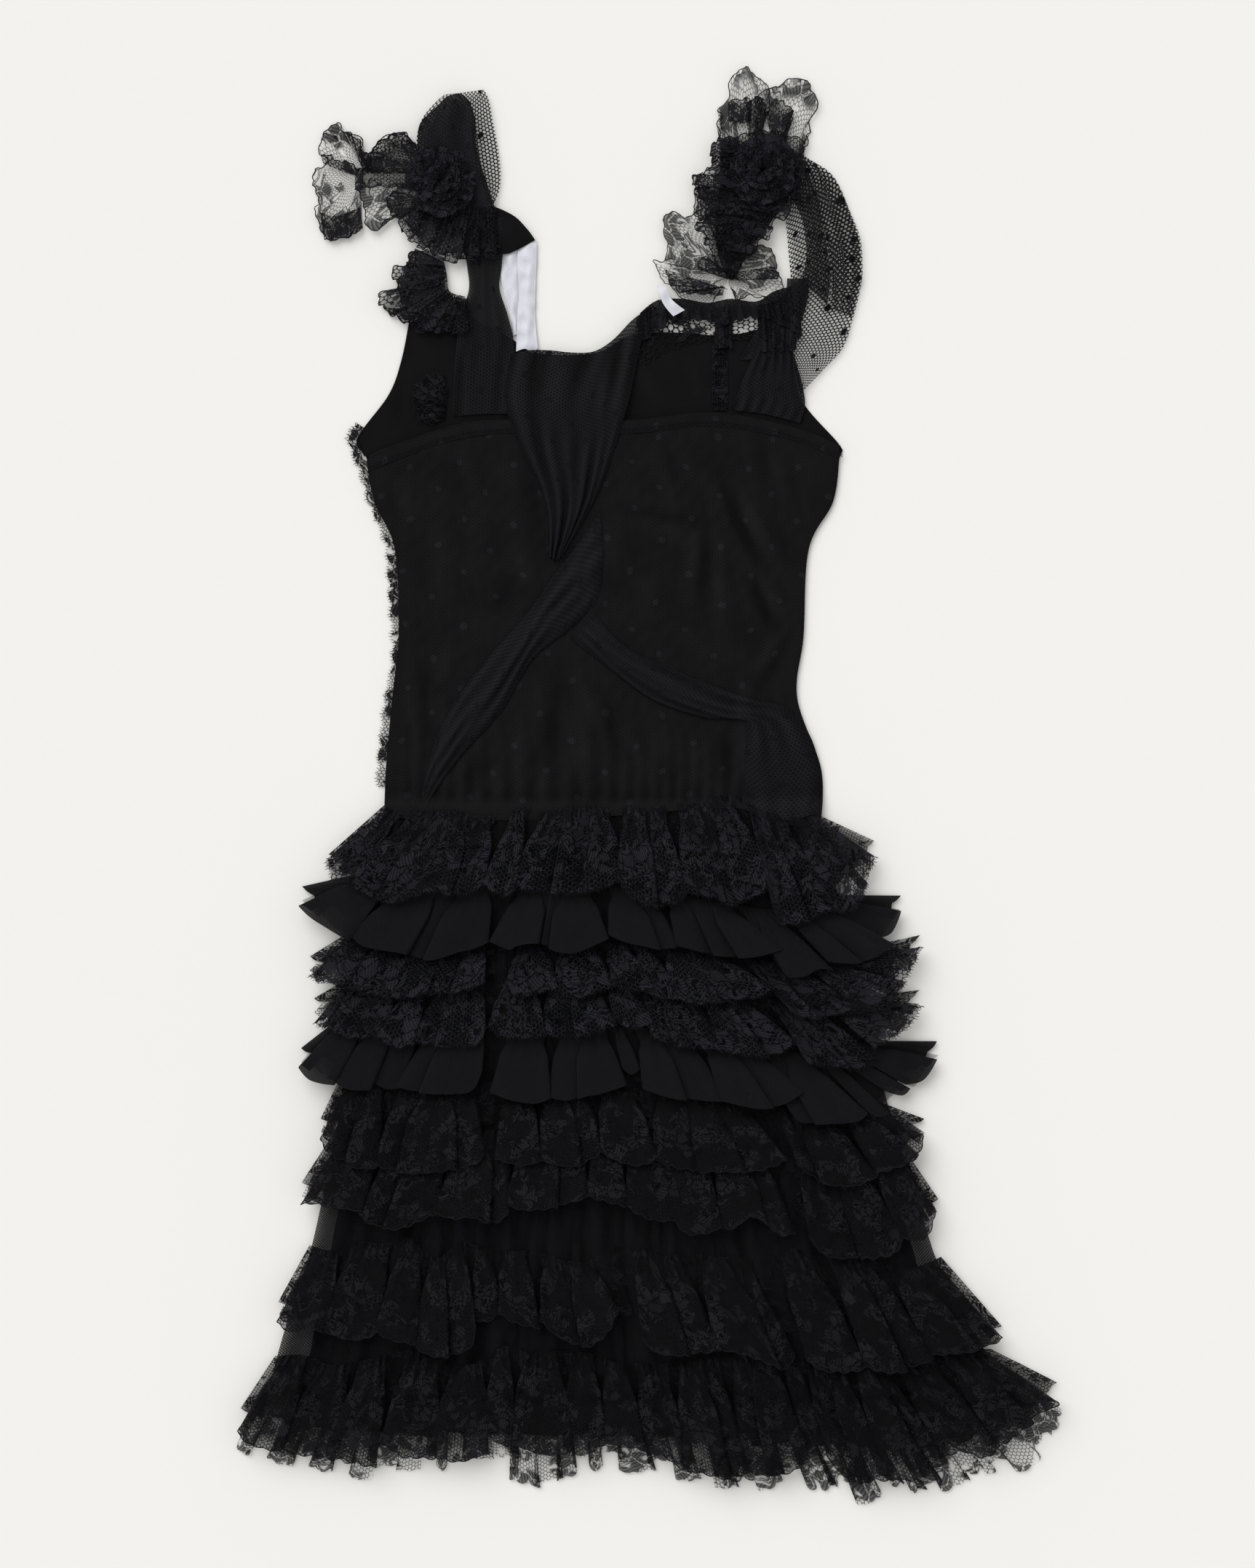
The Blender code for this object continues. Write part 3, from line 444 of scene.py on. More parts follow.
# jersey: its colour, the colour of its spots and whether it has any; chiffon: what it stops of the light
JERSEY = make_jersey("jersey", "#111112", "#111112", False)
BACK_JERSEY = make_jersey("jersey_under_dotted_tulle", "#141415", "#1C1C1F", True)
CHIFFON = make_chiffon("chiffon_in_folds", "#0F0F11", 0.96)
UNDER_CHIFFON = make_chiffon("chiffon_in_shadow", "#0A0A0B", 0.98)
SHEER_CHIFFON = make_chiffon("chiffon", "#131314", 0.42)
LINING = make_jersey("black_lining", "#09090A", "#09090A", False)
SATIN = make_satin("white_satin", "#D9D9E2")
print("materials in the file:", len(bpy.data.materials))

# %% Ground of the photograph
ground, ground_tree, ground_shader = surface("painted_board", Roughness=0.9, Specular_IOR_Level=0.0)
ground_place = add(ground_tree, "ShaderNodeTexCoord")
ground_cloud = add(ground_tree, "ShaderNodeTexNoise",
                   {"Vector": ground_place.outputs["Object"], "Scale": 3.0, "Detail": 2.0})
ground_tone = add(ground_tree, "ShaderNodeMapRange",
                  {"Value": ground_cloud.outputs[0], "To Min": 0.995, "To Max": 1.005})
ground_colour = add(ground_tree, "ShaderNodeMix", {0: 1.0, 6: linear("#F2F1ED"), 7: ground_tone}, **MULTIPLY)
ground_tree.links.new(ground_colour.outputs[2], ground_shader.inputs["Base Color"])
table_mesh.materials.append(ground)

# %% [markdown]
# ## From a flat pattern to a draped sheet
#
# A garment is drawn as curves first. A few points make a smooth curve, and a panel is filled between four
# such curves (a Coons patch). A height function then lifts the panel's points off the table. The same grid,
# measured along its rows, tells how wide the cloth was before it was gathered, which gives the UV map.
#
# The points of a curve are written as text in pattern millimetres: x and y with a comma between them, a
# space before the next point and a slash before the next curve. Rows of more than two numbers are written
# the same way.

# %% Curves and panels
CURVE_STEPS = 12        # points that the smooth curve gets for each stretch between two given ones


def curves(text):
    """Lists of rows of numbers from text; slashes part the lists, blanks the rows and commas the numbers."""
    return [[tuple(float(c) for c in row.split(",")) for row in part.split()] for part in text.split("/")]


def raised(line, rise):
    """The same line, some millimetres higher up the dress."""
    return [(x, y + rise) for x, y in line]


def smooth(t):
    """Zero to one with soft ends."""
    t = np.clip(t, 0.0, 1.0)
    return t * t * (3.0 - 2.0 * t)


def spline(points):
    """A smooth curve through a few points, read by its share of the whole length."""
    points = np.asarray(points, float)
    ends = np.vstack([points[:1], points, points[-1:]])
    t = (np.arange(1, CURVE_STEPS + 1) / CURVE_STEPS)[:, None]
    line = [points[:1]]
    for a, b, c, d in zip(ends, ends[1:], ends[2:], ends[3:]):
        line.append(0.5 * (2 * b + (c - a) * t + (2 * a - 5 * b + 4 * c - d) * t ** 2
                           + (3 * b - a - 3 * c + d) * t ** 3))
    line = np.vstack(line)
    length = np.concatenate([[0.0], np.cumsum(np.linalg.norm(np.diff(line, axis=0), axis=1))])

    def at(shares):
        goal = np.clip(shares, 0.0, 1.0) * length[-1]
        return np.stack([np.interp(goal, length, line[:, k]) for k in range(2)], -1)

    return at


def panel(bottom, top, left=(), right=(), columns=60, rows=40):
    """Points of a panel between four edge curves; left and right hold the points between the corners."""
    u = np.linspace(0.0, 1.0, columns + 1)
    v = np.linspace(0.0, 1.0, rows + 1)
    low, high = spline(bottom)(u), spline(top)(u)
    west = spline([bottom[0], *left, top[0]])(v)
    east = spline([bottom[-1], *right, top[-1]])(v)
    U, V = np.meshgrid(u, v)
    U, V = U[..., None], V[..., None]
    corner = [np.array(p, float) for p in (bottom[0], bottom[-1], top[0], top[-1])]
    corners = (corner[0] * (1 - U) + corner[1] * U) * (1 - V) + (corner[2] * (1 - U) + corner[3] * U) * V
    points = low[None] * (1 - V) + high[None] * V + west[:, None] * (1 - U) + east[:, None] * U - corners
    return points, U[..., 0], V[..., 0]


# %% Tables of folds and soft ripples
def folds(rows, x, y):
    """What a table of straight soft folds (x0, y0, x1, y1, height, width) adds at each place."""
    total = np.zeros_like(x)
    for x0, y0, x1, y1, height, width in rows:
        dx, dy = x1 - x0, y1 - y0
        t = np.clip(((x - x0) * dx + (y - y0) * dy) / (dx * dx + dy * dy), 0.0, 1.0)
        away = np.hypot(x - x0 - dx * t, y - y0 - dy * t)
        total += height * np.exp(-(away / width) ** 2) * smooth(np.minimum(t, 1 - t) / 0.45)
    return total


def ripple(x, y, seed, pitch):
    """Soft irregular relief between minus one and one, with bumps about a pitch apart."""
    rng = np.random.default_rng(seed)
    total = np.zeros_like(x)
    for _ in range(6):
        angle, phase, size = rng.uniform(0, 2 * math.pi), rng.uniform(0, 2 * math.pi), rng.uniform(0.7, 1.5)
        total += np.sin(2 * math.pi * (x * math.cos(angle) + y * math.sin(angle)) / (pitch * size) + phase)
    return total / 6 * 1.6


# %% Mesh of a sheet
def arc(points):
    """Length along the first axis of a list of points, starting at zero."""
    steps = np.linalg.norm(np.diff(points, axis=0), axis=-1)
    return np.concatenate([np.zeros((1,) + steps.shape[1:]), np.cumsum(steps, axis=0)])


RELIEF_REACH = 14.0     # the relief of a place is its height over the mean of the cloth this far around it
RELIEF_SPAN = 1.1       # and this much of it counts as a full crease or fold


def relief(grid):
    """From minus one in a crease to one on a fold; the shaders paint shade and light into the cloth's colour
    by it.
    """
    mean = grid[..., 2]
    for axis in (0, 1):
        rows = np.moveaxis(mean, axis, 0)
        pitch = np.linalg.norm(np.diff(grid, axis=axis), axis=-1).mean()
        reach = int(np.clip(RELIEF_REACH / max(pitch, 0.1), 1, max(1, len(rows) // 3)))
        padded = np.concatenate([rows[:1]] * reach + [rows] + [rows[-1:]] * reach)
        total = np.cumsum(np.concatenate([np.zeros_like(rows[:1]), padded]), axis=0)
        mean = np.moveaxis((total[2 * reach + 1:] - total[:-2 * reach - 1]) / (2 * reach + 1), 0, axis)
    return np.clip((grid[..., 2] - mean) / RELIEF_SPAN, -1.0, 1.0)


def sheet(name, layers, material, under=None):
    """One object from layers of (grid of points, grid of cloth millimetres, closed round or not).

    The first layer may be of another material, for a length that lies in the shadow of the rest.
    """
    points, faces, cloth, heights, start = [], [], [], [], 0
    for grid, uv, closed in layers:
        rows, columns = grid.shape[:2]
        ring = columns - 1 if closed else columns
        index = start + np.arange(rows * ring).reshape(rows, ring)
        if closed:
            index = np.concatenate([index, index[:, :1]], axis=1)
        quads = np.stack([index[:-1, :-1], index[:-1, 1:], index[1:, 1:], index[1:, :-1]], -1).reshape(-1, 4)
        corners = np.stack([uv[:-1, :-1], uv[:-1, 1:], uv[1:, 1:], uv[1:, :-1]], 2).reshape(-1, 4, 2)
        placed = place(grid[:, :ring].reshape(-1, 3))
        a, b, d = (placed[quads[:, k] - start] for k in (0, 1, 3))
        if np.cross(b - a, d - a)[:, 2].sum() < 0:
            quads, corners = quads[:, ::-1], corners[:, ::-1]
        points.append(placed)
        faces.append(quads)
        cloth.append(corners.reshape(-1, 2))
        heights.append(relief(grid)[:, :ring].ravel())
        start += len(placed)
    mesh = bpy.data.meshes.new(name)
    mesh.from_pydata(np.vstack(points).tolist(), [], np.vstack(faces).tolist())
    mesh.uv_layers.new(name="cloth").data.foreach_set("uv", np.vstack(cloth).ravel())
    # relief drives the painted shade in the creases and the painted light on the folds
    mesh.attributes.new("relief", "FLOAT", "POINT").data.foreach_set("value", np.concatenate(heights))
    mesh.shade_smooth()
    mesh.materials.append(material)
    if under:
        mesh.materials.append(under)
        indices = np.zeros(len(mesh.polygons), int)
        indices[:len(faces[0])] = 1
        mesh.polygons.foreach_set("material_index", indices)
    return show(name, mesh)


def flat_cloth(grid, x_shift=0.0, y_shift=0.0):
    """Cloth millimetres of a grid, measured along its longest row and down its columns."""
    rows = arc(grid.transpose(1, 0, 2)).T
    longest = rows[np.argmax(rows[:, -1])]
    down = arc(grid).mean(axis=1)
    across, along = np.meshgrid(longest, down)
    return np.stack([across + x_shift, along + y_shift], -1)


def sew_in(piece, layers, nodes, slot, trims=()):
    """Fixes a sheet to the dress and states the flat cloth that it was cut from; its trims are not used here.
    """
    width = sum(arc(grid.transpose(1, 0, 2))[-1].max() for grid, _, _ in layers)
    length = max(arc(grid)[-1].max() for grid, _, _ in layers)
    area = 0.0
    for grid, _, _ in layers:
        one, two = grid[1:, 1:] - grid[:-1, :-1], grid[1:, :-1] - grid[:-1, 1:]
        area += np.linalg.norm(np.cross(one, two), axis=-1).sum() / 2
    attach(piece, "root")
    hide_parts(*nodes)
    triangles = 2 * len(piece.data.polygons)
    print("%-24s %6d triangles, cut %4.0f x %3.0f mm" % (piece.name, triangles, width, length))


# %% [markdown]
# ## Stitches, thread ends and corded edges
#
# Three kinds of thread follow a line: the machine stitches that hold the turned band, the short ends, called
# eyelashes, that stand out of the edge of narrow raschel lace, and the cord that finishes the edge of the
# bows and of the wide lace. Geometry Nodes lay all three. A line goes in as a mesh of edges that also says,
# at each point, which way the thread points. One tree lays points along the line at an even spacing, puts a
# thin cone on each, turns it to its way with a little stray, and makes the copies real. The other draws a
# thin round cord along it.

# %% Trees that lay threads and cords along a line
def thread_tree(name, inputs):
    """An empty tree with its named inputs; also says which identifier each input has."""
    tree = bpy.data.node_groups.new(name, "GeometryNodeTree")
    tree.interface.new_socket("Line", in_out="INPUT", socket_type="NodeSocketGeometry")
    sockets = {title: tree.interface.new_socket(title, in_out="INPUT",
                                                socket_type="NodeSocket" + kind).identifier
               for title, kind in inputs.items()}
    tree.interface.new_socket("Threads", in_out="OUTPUT", socket_type="NodeSocketGeometry")
    given = add(tree, "NodeGroupInput")
    curve = add(tree, "GeometryNodeMeshToCurve", {"Mesh": given.outputs["Line"]})
    return tree, sockets, given, curve


def finish_tree(tree, geometry, given):
    """Makes the copies real and dyes them."""
    real = add(tree, "GeometryNodeRealizeInstances", {"Geometry": geometry})
    dyed = add(tree, "GeometryNodeSetMaterial", {"Geometry": real, "Material": given.outputs["Thread"]})
    add(tree, "NodeGroupOutput", {"Threads": dyed})
    print(tree.name, len(tree.nodes), "nodes")


THREADS, THREAD_SOCKETS, given, curve = thread_tree("threads_along_a_line", {
    "Spacing": "Float", "Length": "Float", "Foot": "Float", "Tip": "Float", "Stray": "Float", "Seed": "Int",
    "Thread": "Material"})
stations = add(THREADS, "GeometryNodeResampleCurve", {"Curve": curve, "Length": given.outputs["Spacing"]},
               mode="LENGTH")
way = add(THREADS, "GeometryNodeInputNamedAttribute", {"Name": "way"}, data_type="FLOAT_VECTOR")
chance = add(THREADS, "FunctionNodeRandomValue", {0: (-1.0, -1.0, -0.5), 1: (1.0, 1.0, 0.5),
                                                  "Seed": given.outputs["Seed"]}, data_type="FLOAT_VECTOR")
stray = add(THREADS, "ShaderNodeVectorMath", {0: chance, "Scale": given.outputs["Stray"]}, operation="SCALE")
pointing = add(THREADS, "ShaderNodeVectorMath", {0: way, 1: stray}, operation="ADD")
turn = add(THREADS, "FunctionNodeAlignRotationToVector", {"Vector": pointing}, axis="Z")
cone = add(THREADS, "GeometryNodeMeshCone", {"Vertices": 4, "Radius Top": given.outputs["Tip"],
                                             "Radius Bottom": given.outputs["Foot"],
                                             "Depth": given.outputs["Length"]})
sizes = add(THREADS, "FunctionNodeRandomValue", {2: 0.55, 3: 1.25, "Seed": given.outputs["Seed"]},
            data_type="FLOAT")
stretch = add(THREADS, "ShaderNodeCombineXYZ", {"X": 1.0, "Y": 1.0, "Z": sizes.outputs[1]})
copies = add(THREADS, "GeometryNodeInstanceOnPoints", {"Points": stations, "Instance": cone, "Rotation": turn,
                                                       "Scale": stretch})
finish_tree(THREADS, copies, given)

CORDS, CORD_SOCKETS, given, curve = thread_tree("cord_along_a_line", {
    "Spacing": "Float", "Radius": "Float", "Thread": "Material"})
stations = add(CORDS, "GeometryNodeResampleCurve", {"Curve": curve, "Length": given.outputs["Spacing"]},
               mode="LENGTH")
ring = add(CORDS, "GeometryNodeCurvePrimitiveCircle", {"Resolution": 4, "Radius": given.outputs["Radius"]})
tube = add(CORDS, "GeometryNodeCurveToMesh", {"Curve": stations, "Profile Curve": ring})
finish_tree(CORDS, tube, given)

# %% Threads and cords on a piece
# spun thread is matt and hairy, so it has hardly any gloss
THREAD = surface("spun_polyester_thread", Base_Color=linear("#17171B"), Roughness=0.7,
                 Specular_IOR_Level=0.06)[0]

# lengths in metres, as Geometry Nodes take them
EYELASH = {"Spacing": 0.0024, "Length": 0.0024, "Foot": 0.00035, "Tip": 0.00012, "Stray": 0.6, "Seed": 5}
STITCH = {"Spacing": 0.0034, "Length": 0.0024, "Foot": 0.00035, "Tip": 0.00035, "Stray": 0.05, "Seed": 6}
CORD = {"Spacing": 0.0020, "Radius": 0.00042}


def threads(name, lines, sizes):
    """Threads or a cord along lines of (points, ways) in pattern millimetres, as one plain mesh."""
    tree, sockets = (CORDS, CORD_SOCKETS) if sizes is CORD else (THREADS, THREAD_SOCKETS)
    points = np.vstack([place(line) for line, _ in lines])
    ways = np.vstack([way for _, way in lines])
    starts = np.cumsum([0] + [len(line) for line, _ in lines])
    edges = [(k, k + 1) for first, last in zip(starts, starts[1:]) for k in range(first, last - 1)]
    mesh = bpy.data.meshes.new(name + "_line")
    mesh.from_pydata(points.tolist(), edges, [])
    mesh.attributes.new("way", "FLOAT_VECTOR", "POINT").data.foreach_set("vector", ways.ravel())
    piece = show(name, mesh)
    modifier = piece.modifiers.new("threads", "NODES")
    modifier.node_group = tree
    for title, value in dict(sizes, Thread=THREAD).items():
        modifier[sockets[title]] = value
    plain = bpy.data.meshes.new_from_object(piece.evaluated_get(bpy.context.evaluated_depsgraph_get()))
    piece.modifiers.remove(modifier)
    plain.name = name
    piece.data = plain
    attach(piece, "root")
    print("%-28s %6d faces" % (name, len(plain.polygons)))
    return piece


def edge_lines(layers):
    """The free edge of each layer, with the way that its cloth runs out there."""
    lines = []
    for grid, _, _ in layers:
        out = grid[-1] - grid[-2]
        lines.append((grid[-1], out / np.maximum(np.linalg.norm(out, axis=1, keepdims=True), 1e-6)))
    return lines


# %% [markdown]
# ## Gathering
#
# A ruffle is a long strip sewn to a shorter line. Its extra cloth stands in folds that are small and many at
# the seam and few and wide at the hem, and that lie over on each other like flattened bellows. Seen from the
# hem end the cloth runs forward along the top, doubles back underneath and runs forward again. The function
# below walks along the strip in phase: one turn of the phase is one fold. It moves the points sideways with
# the double of the phase, which makes the cloth double back, and up and down with the phase itself. All of
# it grows from the seam to the hem. Bows, fans and frills are the same thing sewn to a very short line.

# %% Gathered strip
FINE_GATHERS = 3        # small gathers along the seam for each fold of the hem


def gathered(seam, hem, waves, seed, base, lift=12.0, sway=4.5, overlap=0.15, rows=14, steps=44, dip=3.0,
             scallop=(12.0, 1.4), ends=0.05, crimp=0.8, power=1.2, flat_top=0.55):
    """Points and cloth millimetres of a strip gathered from its hem curve to its seam curve."""
    rng = np.random.default_rng(seed)
    phase = np.linspace(0.0, waves, waves * steps + 1)
    widths = rng.uniform(0.5, 1.6, waves)
    knots = np.concatenate([[0.0], np.cumsum(widths)]) / widths.sum()
    share = np.interp(phase, np.arange(waves + 1), knots)
    halves = np.arange(0, waves + 0.1, 0.5)
    lean = np.interp(phase, halves, rng.uniform(0.3, 1.5, len(halves)))
    tall = np.interp(phase, halves, rng.uniform(0.5, 1.15, len(halves)))
    drop = np.interp(phase, halves, rng.uniform(-0.8, 0.8, len(halves)))
    pitch = np.interp(phase, np.arange(waves) + 0.5, widths) / widths.sum()
    fade = smooth(np.minimum(share, 1.0 - share) / ends)
    crest = -np.cos(2 * math.pi * phase)
    crest = np.sign(crest) * np.abs(crest) ** flat_top
    top, end = spline(seam)(share), spline(hem)(share)
    hem_length = arc(end)[-1]
    down = end - top
    depth = np.linalg.norm(down, axis=1, keepdims=True)
    side = np.stack([-down[:, 1], down[:, 0]], -1) / np.maximum(depth, 1e-6)
    side *= np.sign((side * np.gradient(end, axis=0)).sum())
    fine = np.sin(2 * math.pi * (FINE_GATHERS * phase + 0.4 * np.sin(2.1 * phase + seed)))
    grid = np.zeros((rows, len(phase), 3))
    for j, v in enumerate(np.linspace(0.0, 1.0, rows)):
        sideways = overlap * pitch * hem_length * lean * np.sin(4 * math.pi * phase) * v ** 1.1
        reach = v * (depth[:, 0] + dip * (crest + drop) * v * fade)
        flat = top + down / depth * reach[:, None] + side * (sideways * fade)[:, None]
        grid[j, :, :2] = flat
        wave = v ** power * (lift + sway * tall * crest) * (0.3 + 0.7 * fade)
        grid[j, :, 2] = base(flat[:, 0], flat[:, 1]) + wave + crimp * (1.0 + fine) * (1.0 - v) ** 2 * fade
    return hemmed(grid, down / depth, scallop, seed)


def hemmed(grid, down, scallop, seed):
    """Cuts the scallops of the last row and adds the cloth's own millimetres."""
    along = arc(grid[-1])
    if scallop:
        size, depth_of = scallop
        edge = (np.abs(np.sin(math.pi * along / size)) - 0.5) * depth_of
        edge *= 1 + 0.5 * np.sin(along / (1.7 * size) + seed)
        for j, weight in ((-1, 1.0), (-2, 0.35)):
            grid[j, :, :2] += down * (edge * weight)[:, None]
    mean_depth = arc(grid).mean(axis=1)
    across, up = np.meshgrid(along, mean_depth[-1] - mean_depth)
    return grid, np.stack([across + 61.0 * seed, up + 17.0 * seed], -1), False


# %% [markdown]
# ## Skirt
#
# The skirt is a plain tulle base that flares to the hem, with nine ruffles sewn on one below the other. The
# first is sewn in at the waist. The next six start eight millimetres above the hem of the one before, so
# their seams are hidden. The last two have seams of their own a little below the hem before, and their
# gathers show. The tables give the waist, the edges of the base, and each ruffle's two tips and the hem
# heights between them.

# %% Tables of the skirt
WAIST = curves("-207,-28 -109,-30 -18,-26 62,-20 96,-31 134,-37")[0]
SKIRT = np.array(curves("-24,-207,134 -71,-228,142 -128,-236,162 -242,-240,184 -299,-250,204 -372,-266,224 "
                        "-429,-285,255 -462,-294,270")[0])
HEM_STATIONS = (0.0, 0.12, 0.35, 0.60, 0.82, 0.93, 1.0)     # where the heights of a hem are given, as shares
RUFFLE_LAP = 8.0        # a ruffle starts this far above the hem of the one before
FRONT_RISE = 3.0        # the front's hems end this much higher than the back's

# own_seam is the height of a seam of its own at its left and right end; left and right are the hem's two tips
Ruffle = namedtuple("Ruffle", "name cloth own_seam left heights right folds")
RUFFLES = [Ruffle(*row) for row in (
    ("1", "lace", None, (-251, -71), (-84, -88, -93, -108, -92), (176, -60), 14),
    ("2", "chiffon", None, (-272, -96), (-128, -135, -134, -150, -134), (197, -103), 11),
    ("3", "lace", None, (-266, -151), (-168, -164, -167, -182, -168), (212, -134), 14),
    ("4", "lace", None, (-263, -184), (-194, -200, -202, -221, -206), (212, -177), 15),
    ("5", "chiffon", None, (-273, -223), (-239, -242, -250, -266, -250), (226, -217), 13),
    ("6", "lace", None, (-257, -278), (-285, -279, -285, -298, -290), (216, -278), 15),
    ("7", "lace", None, (-272, -328), (-339, -332, -351, -364, -356), (226, -340), 14),
    ("8", "lace", (-369, -380), (-290, -421), (-432, -418, -442, -444, -446), (276, -440), 15),
    ("9", "lace", (-456, -456), (-320, -505), (-522, -524, -530, -536, -520), (319, -484), 22),
)]
print("%d ruffles on a skirt of %.0f mm" % (len(RUFFLES), SKIRT[0, 0] - SKIRT[-1, 0]))

# %% Where the skirt and its seams lie
def edges_at(rows, y):
    """The left and right edge of a panel at each height."""
    rows = rows[np.argsort(rows[:, 0])]
    return np.interp(y, rows[:, 0], rows[:, 1]), np.interp(y, rows[:, 0], rows[:, 2])


def waist_rise(y):
    """The skirt's walls lie one layer lower at the waist, where they lap the bodice."""
    return smooth((-40.0 - y) / 30.0)


def skirt_top(x, y):
    """Height of the skirt's upper face, falling away beside and below it."""
    left, right = edges_at(SKIRT, y)
    outside = np.maximum.reduce([np.zeros_like(x), left - x - 10, x - right - 10, SKIRT[-1, 0] - 10 - y])
    fall = smooth(outside / 14.0)
    return LAYER * (3.0 + waist_rise(y)) * (1.0 - fall) + 2.0 * LAYER * fall


def ruffle_hem(ruffle):
    """Hem of a ruffle as a list of points from its left tip to its right tip."""
    (left, left_y), (right, right_y) = ruffle.left, ruffle.right
    return [(left + (right - left) * share, height)
            for share, height in zip(HEM_STATIONS, (left_y, *ruffle.heights, right_y))]


def ruffle_seam(ruffle, before):
    """Line where a ruffle is sewn to the skirt."""
    if before is None:
        return raised(WAIST, -1.5)
    line = spline(ruffle_hem(before))(np.linspace(0, 1, 80))
    points = []
    for share in HEM_STATIONS:
        if ruffle.own_seam:
            y = ruffle.own_seam[0] + (ruffle.own_seam[1] - ruffle.own_seam[0]) * share
            left, right = edges_at(SKIRT, y)
            points.append((left + (right - left) * share, y))
        else:
            y = spline(ruffle_hem(before))(share)[1] + RUFFLE_LAP
            left, right = edges_at(SKIRT, y)
            x = left + (right - left) * share
            points.append((x, np.interp(x, line[:, 0], line[:, 1]) + RUFFLE_LAP))
    return points


# %% Tables of the bodice
BODICE = np.array(curves("-28,-207,134 9,-206,135 66,-201,116 114,-196,121 182,-199,125 219,-215,144 "
                         "253,-221,149")[0])
BACK_TOP = curves("-220,253 -194,264 -131,282 -20,283 48,289 109,279 149,264")[0]
FRONT_TOP = curves("-188,360 -165,366 -142,364 -112,350 -88,336 -42,336 -14,350 24,352 64,350 111,362")[0]
ARMHOLE_LEFT = curves("-229,268 -204,303 -194,330")[0]
ARMHOLE_RIGHT = curves("150,263 119,300 112,339")[0]
BACK_FOLDS = curves(
    "47,248,59,88,1.8,8 67,237,119,134,1.6,7 -70,111,-7,-20,1.6,8 -109,191,-87,145,1.6,7 "
    "-184,174,-178,66,1.4,7 73,100,76,-20,1.8,7 -150,268,-132,214,0.9,5 10,272,22,180,0.8,6 "
    "95,262,112,205,1,5 -30,60,8,-15,0.9,6 -60,40,-50,-20,0.8,5 20,40,30,-15,0.8,6 118,250,128,190,0.9,5 "
    "-200,240,-188,190,0.8,5 -176,66,-186,-10,0.9,5 -166,232,-160,113,2.2,13 -187,191,-172,-14,-2.2,8 "
    "-192,113,-182,13,2,6 -130,237,-144,132,1.6,14 -100,278,-78,154,-2.6,12 -105,168,-121,123,-1.4,9 "
    "-27,214,-34,154,1.8,12 -34,216,57,199,-1.2,6 39,207,32,141,1.8,8 49,223,41,123,-1.6,8 "
    "50,250,93,154,-2.4,6 68,223,94,173,2,6 71,173,107,104,-2.2,6 88,157,107,123,1.6,6 125,136,80,59,-2,6 "
    "113,132,79,75,1.6,6 2,168,-5,118,1.4,10 -68,104,-82,-10,-2.6,10 -53,77,-50,-10,2.2,11 "
    "-34,68,-21,-10,-1.6,8 11,50,2,-10,1.6,12 57,45,62,-14,-2.2,8 -98,50,-107,-10,1.6,10 "
    "-125,27,-144,-14,-1.8,8 11,273,21,223,-1.1,6 84,278,93,227,-1,6 -194,246,-185,191,1.3,8 "
    "-207,255,-201,168,-1.4,6 -153,113,-166,68,1.2,8 34,36,39,-10,1.4,7")[0]
print("bodice %.0f mm long, with %d soft folds" % (BODICE[-1, 0] - BODICE[0, 0], len(BACK_FOLDS)))


def back_level(x, y):
    """Height of the back bodice's upper face: on the front at its sides, over the skirt at the waist."""
    left, right = edges_at(BODICE, y)
    share = np.clip((x - left) / (right - left), 0.0, 1.0)
    camber = 2.6 * np.sin(math.pi * share) ** 0.7
    edge = smooth(np.minimum(share, 1 - share) / 0.12)
    waist = smooth((-6.0 - y) / 14.0)
    bodice = LAYER + camber * (1 - 0.6 * waist) + folds(BACK_FOLDS, x, y) * edge
    return bodice * (1 - waist) + (3 * LAYER + 0.3 * camber * waist) * waist + WALL


# %% Tulle base of the skirt
def skirt_panel(name, level, seed, material):
    """One length of the tulle base, gathered at the waist so that fine folds run down it."""
    inside = SKIRT[(SKIRT[:, 0] < -26) & (SKIRT[:, 0] > -460)]
    points, u, v = panel(raised(WAIST, 4), [(-294, -462), (0, -464), (270, -462)],
                         [(left, y) for y, left, right in inside], [(right, y) for y, left, right in inside],
                         columns=320, rows=30)
    x, y = points[..., 0], points[..., 1]
    rng = np.random.default_rng(seed)
    height = np.zeros_like(x)
    for _ in range(7):
        count, phase, drift = rng.uniform(12, 48), rng.uniform(0, 6.28), rng.uniform(-1.0, 1.0)
        height += np.sin(2 * math.pi * count * (u + 0.03 * drift * np.sin(6 * v + phase)) + phase)
    edge = smooth(np.minimum(u, 1 - u) / 0.03)
    deep = 2.6 if level == 3 else 0.5
    z = LAYER * (level - 1 + waist_rise(y)) + 0.5 + deep * smooth(0.5 + height / 7.0) * smooth(v / 0.2) * edge
    grid = np.dstack([x, y, z])
    layers = [(grid, flat_cloth(grid, 31.0 * seed) * (1.25, 1.0), False)]
    sew_in(sheet(name + "_cloth", layers, material), layers, [name], "tulle")


skirt_panel("skirt_front", 2, 3, TULLE)
skirt_panel("skirt_back", 3, 4, TULLE)

# %% Lining between the two lengths of tulle
points, u, v = panel(*curves("-198,-30 -20,-30 126,-40 / -278,-505 0,-512 250,-500 / "
                             "-222,-120 -228,-242 -250,-372 / 150,-120 174,-242 208,-372"),
                     columns=240, rows=30)
runs = np.sin(2 * math.pi * (17 * u + 0.9 * np.sin(7 * u + 4 * v))) + ripple(u * 480, v * 480, 8, 30.0)
grid = np.dstack([points, 5.2 + 1.3 * runs])
grid[..., 2] -= 1.3 * (1 - smooth((points[..., 1] + 470) / 20.0))
layers = [(grid, flat_cloth(grid), False)]
sew_in(sheet("lining_cloth", layers, LINING), layers, [], "tulle")

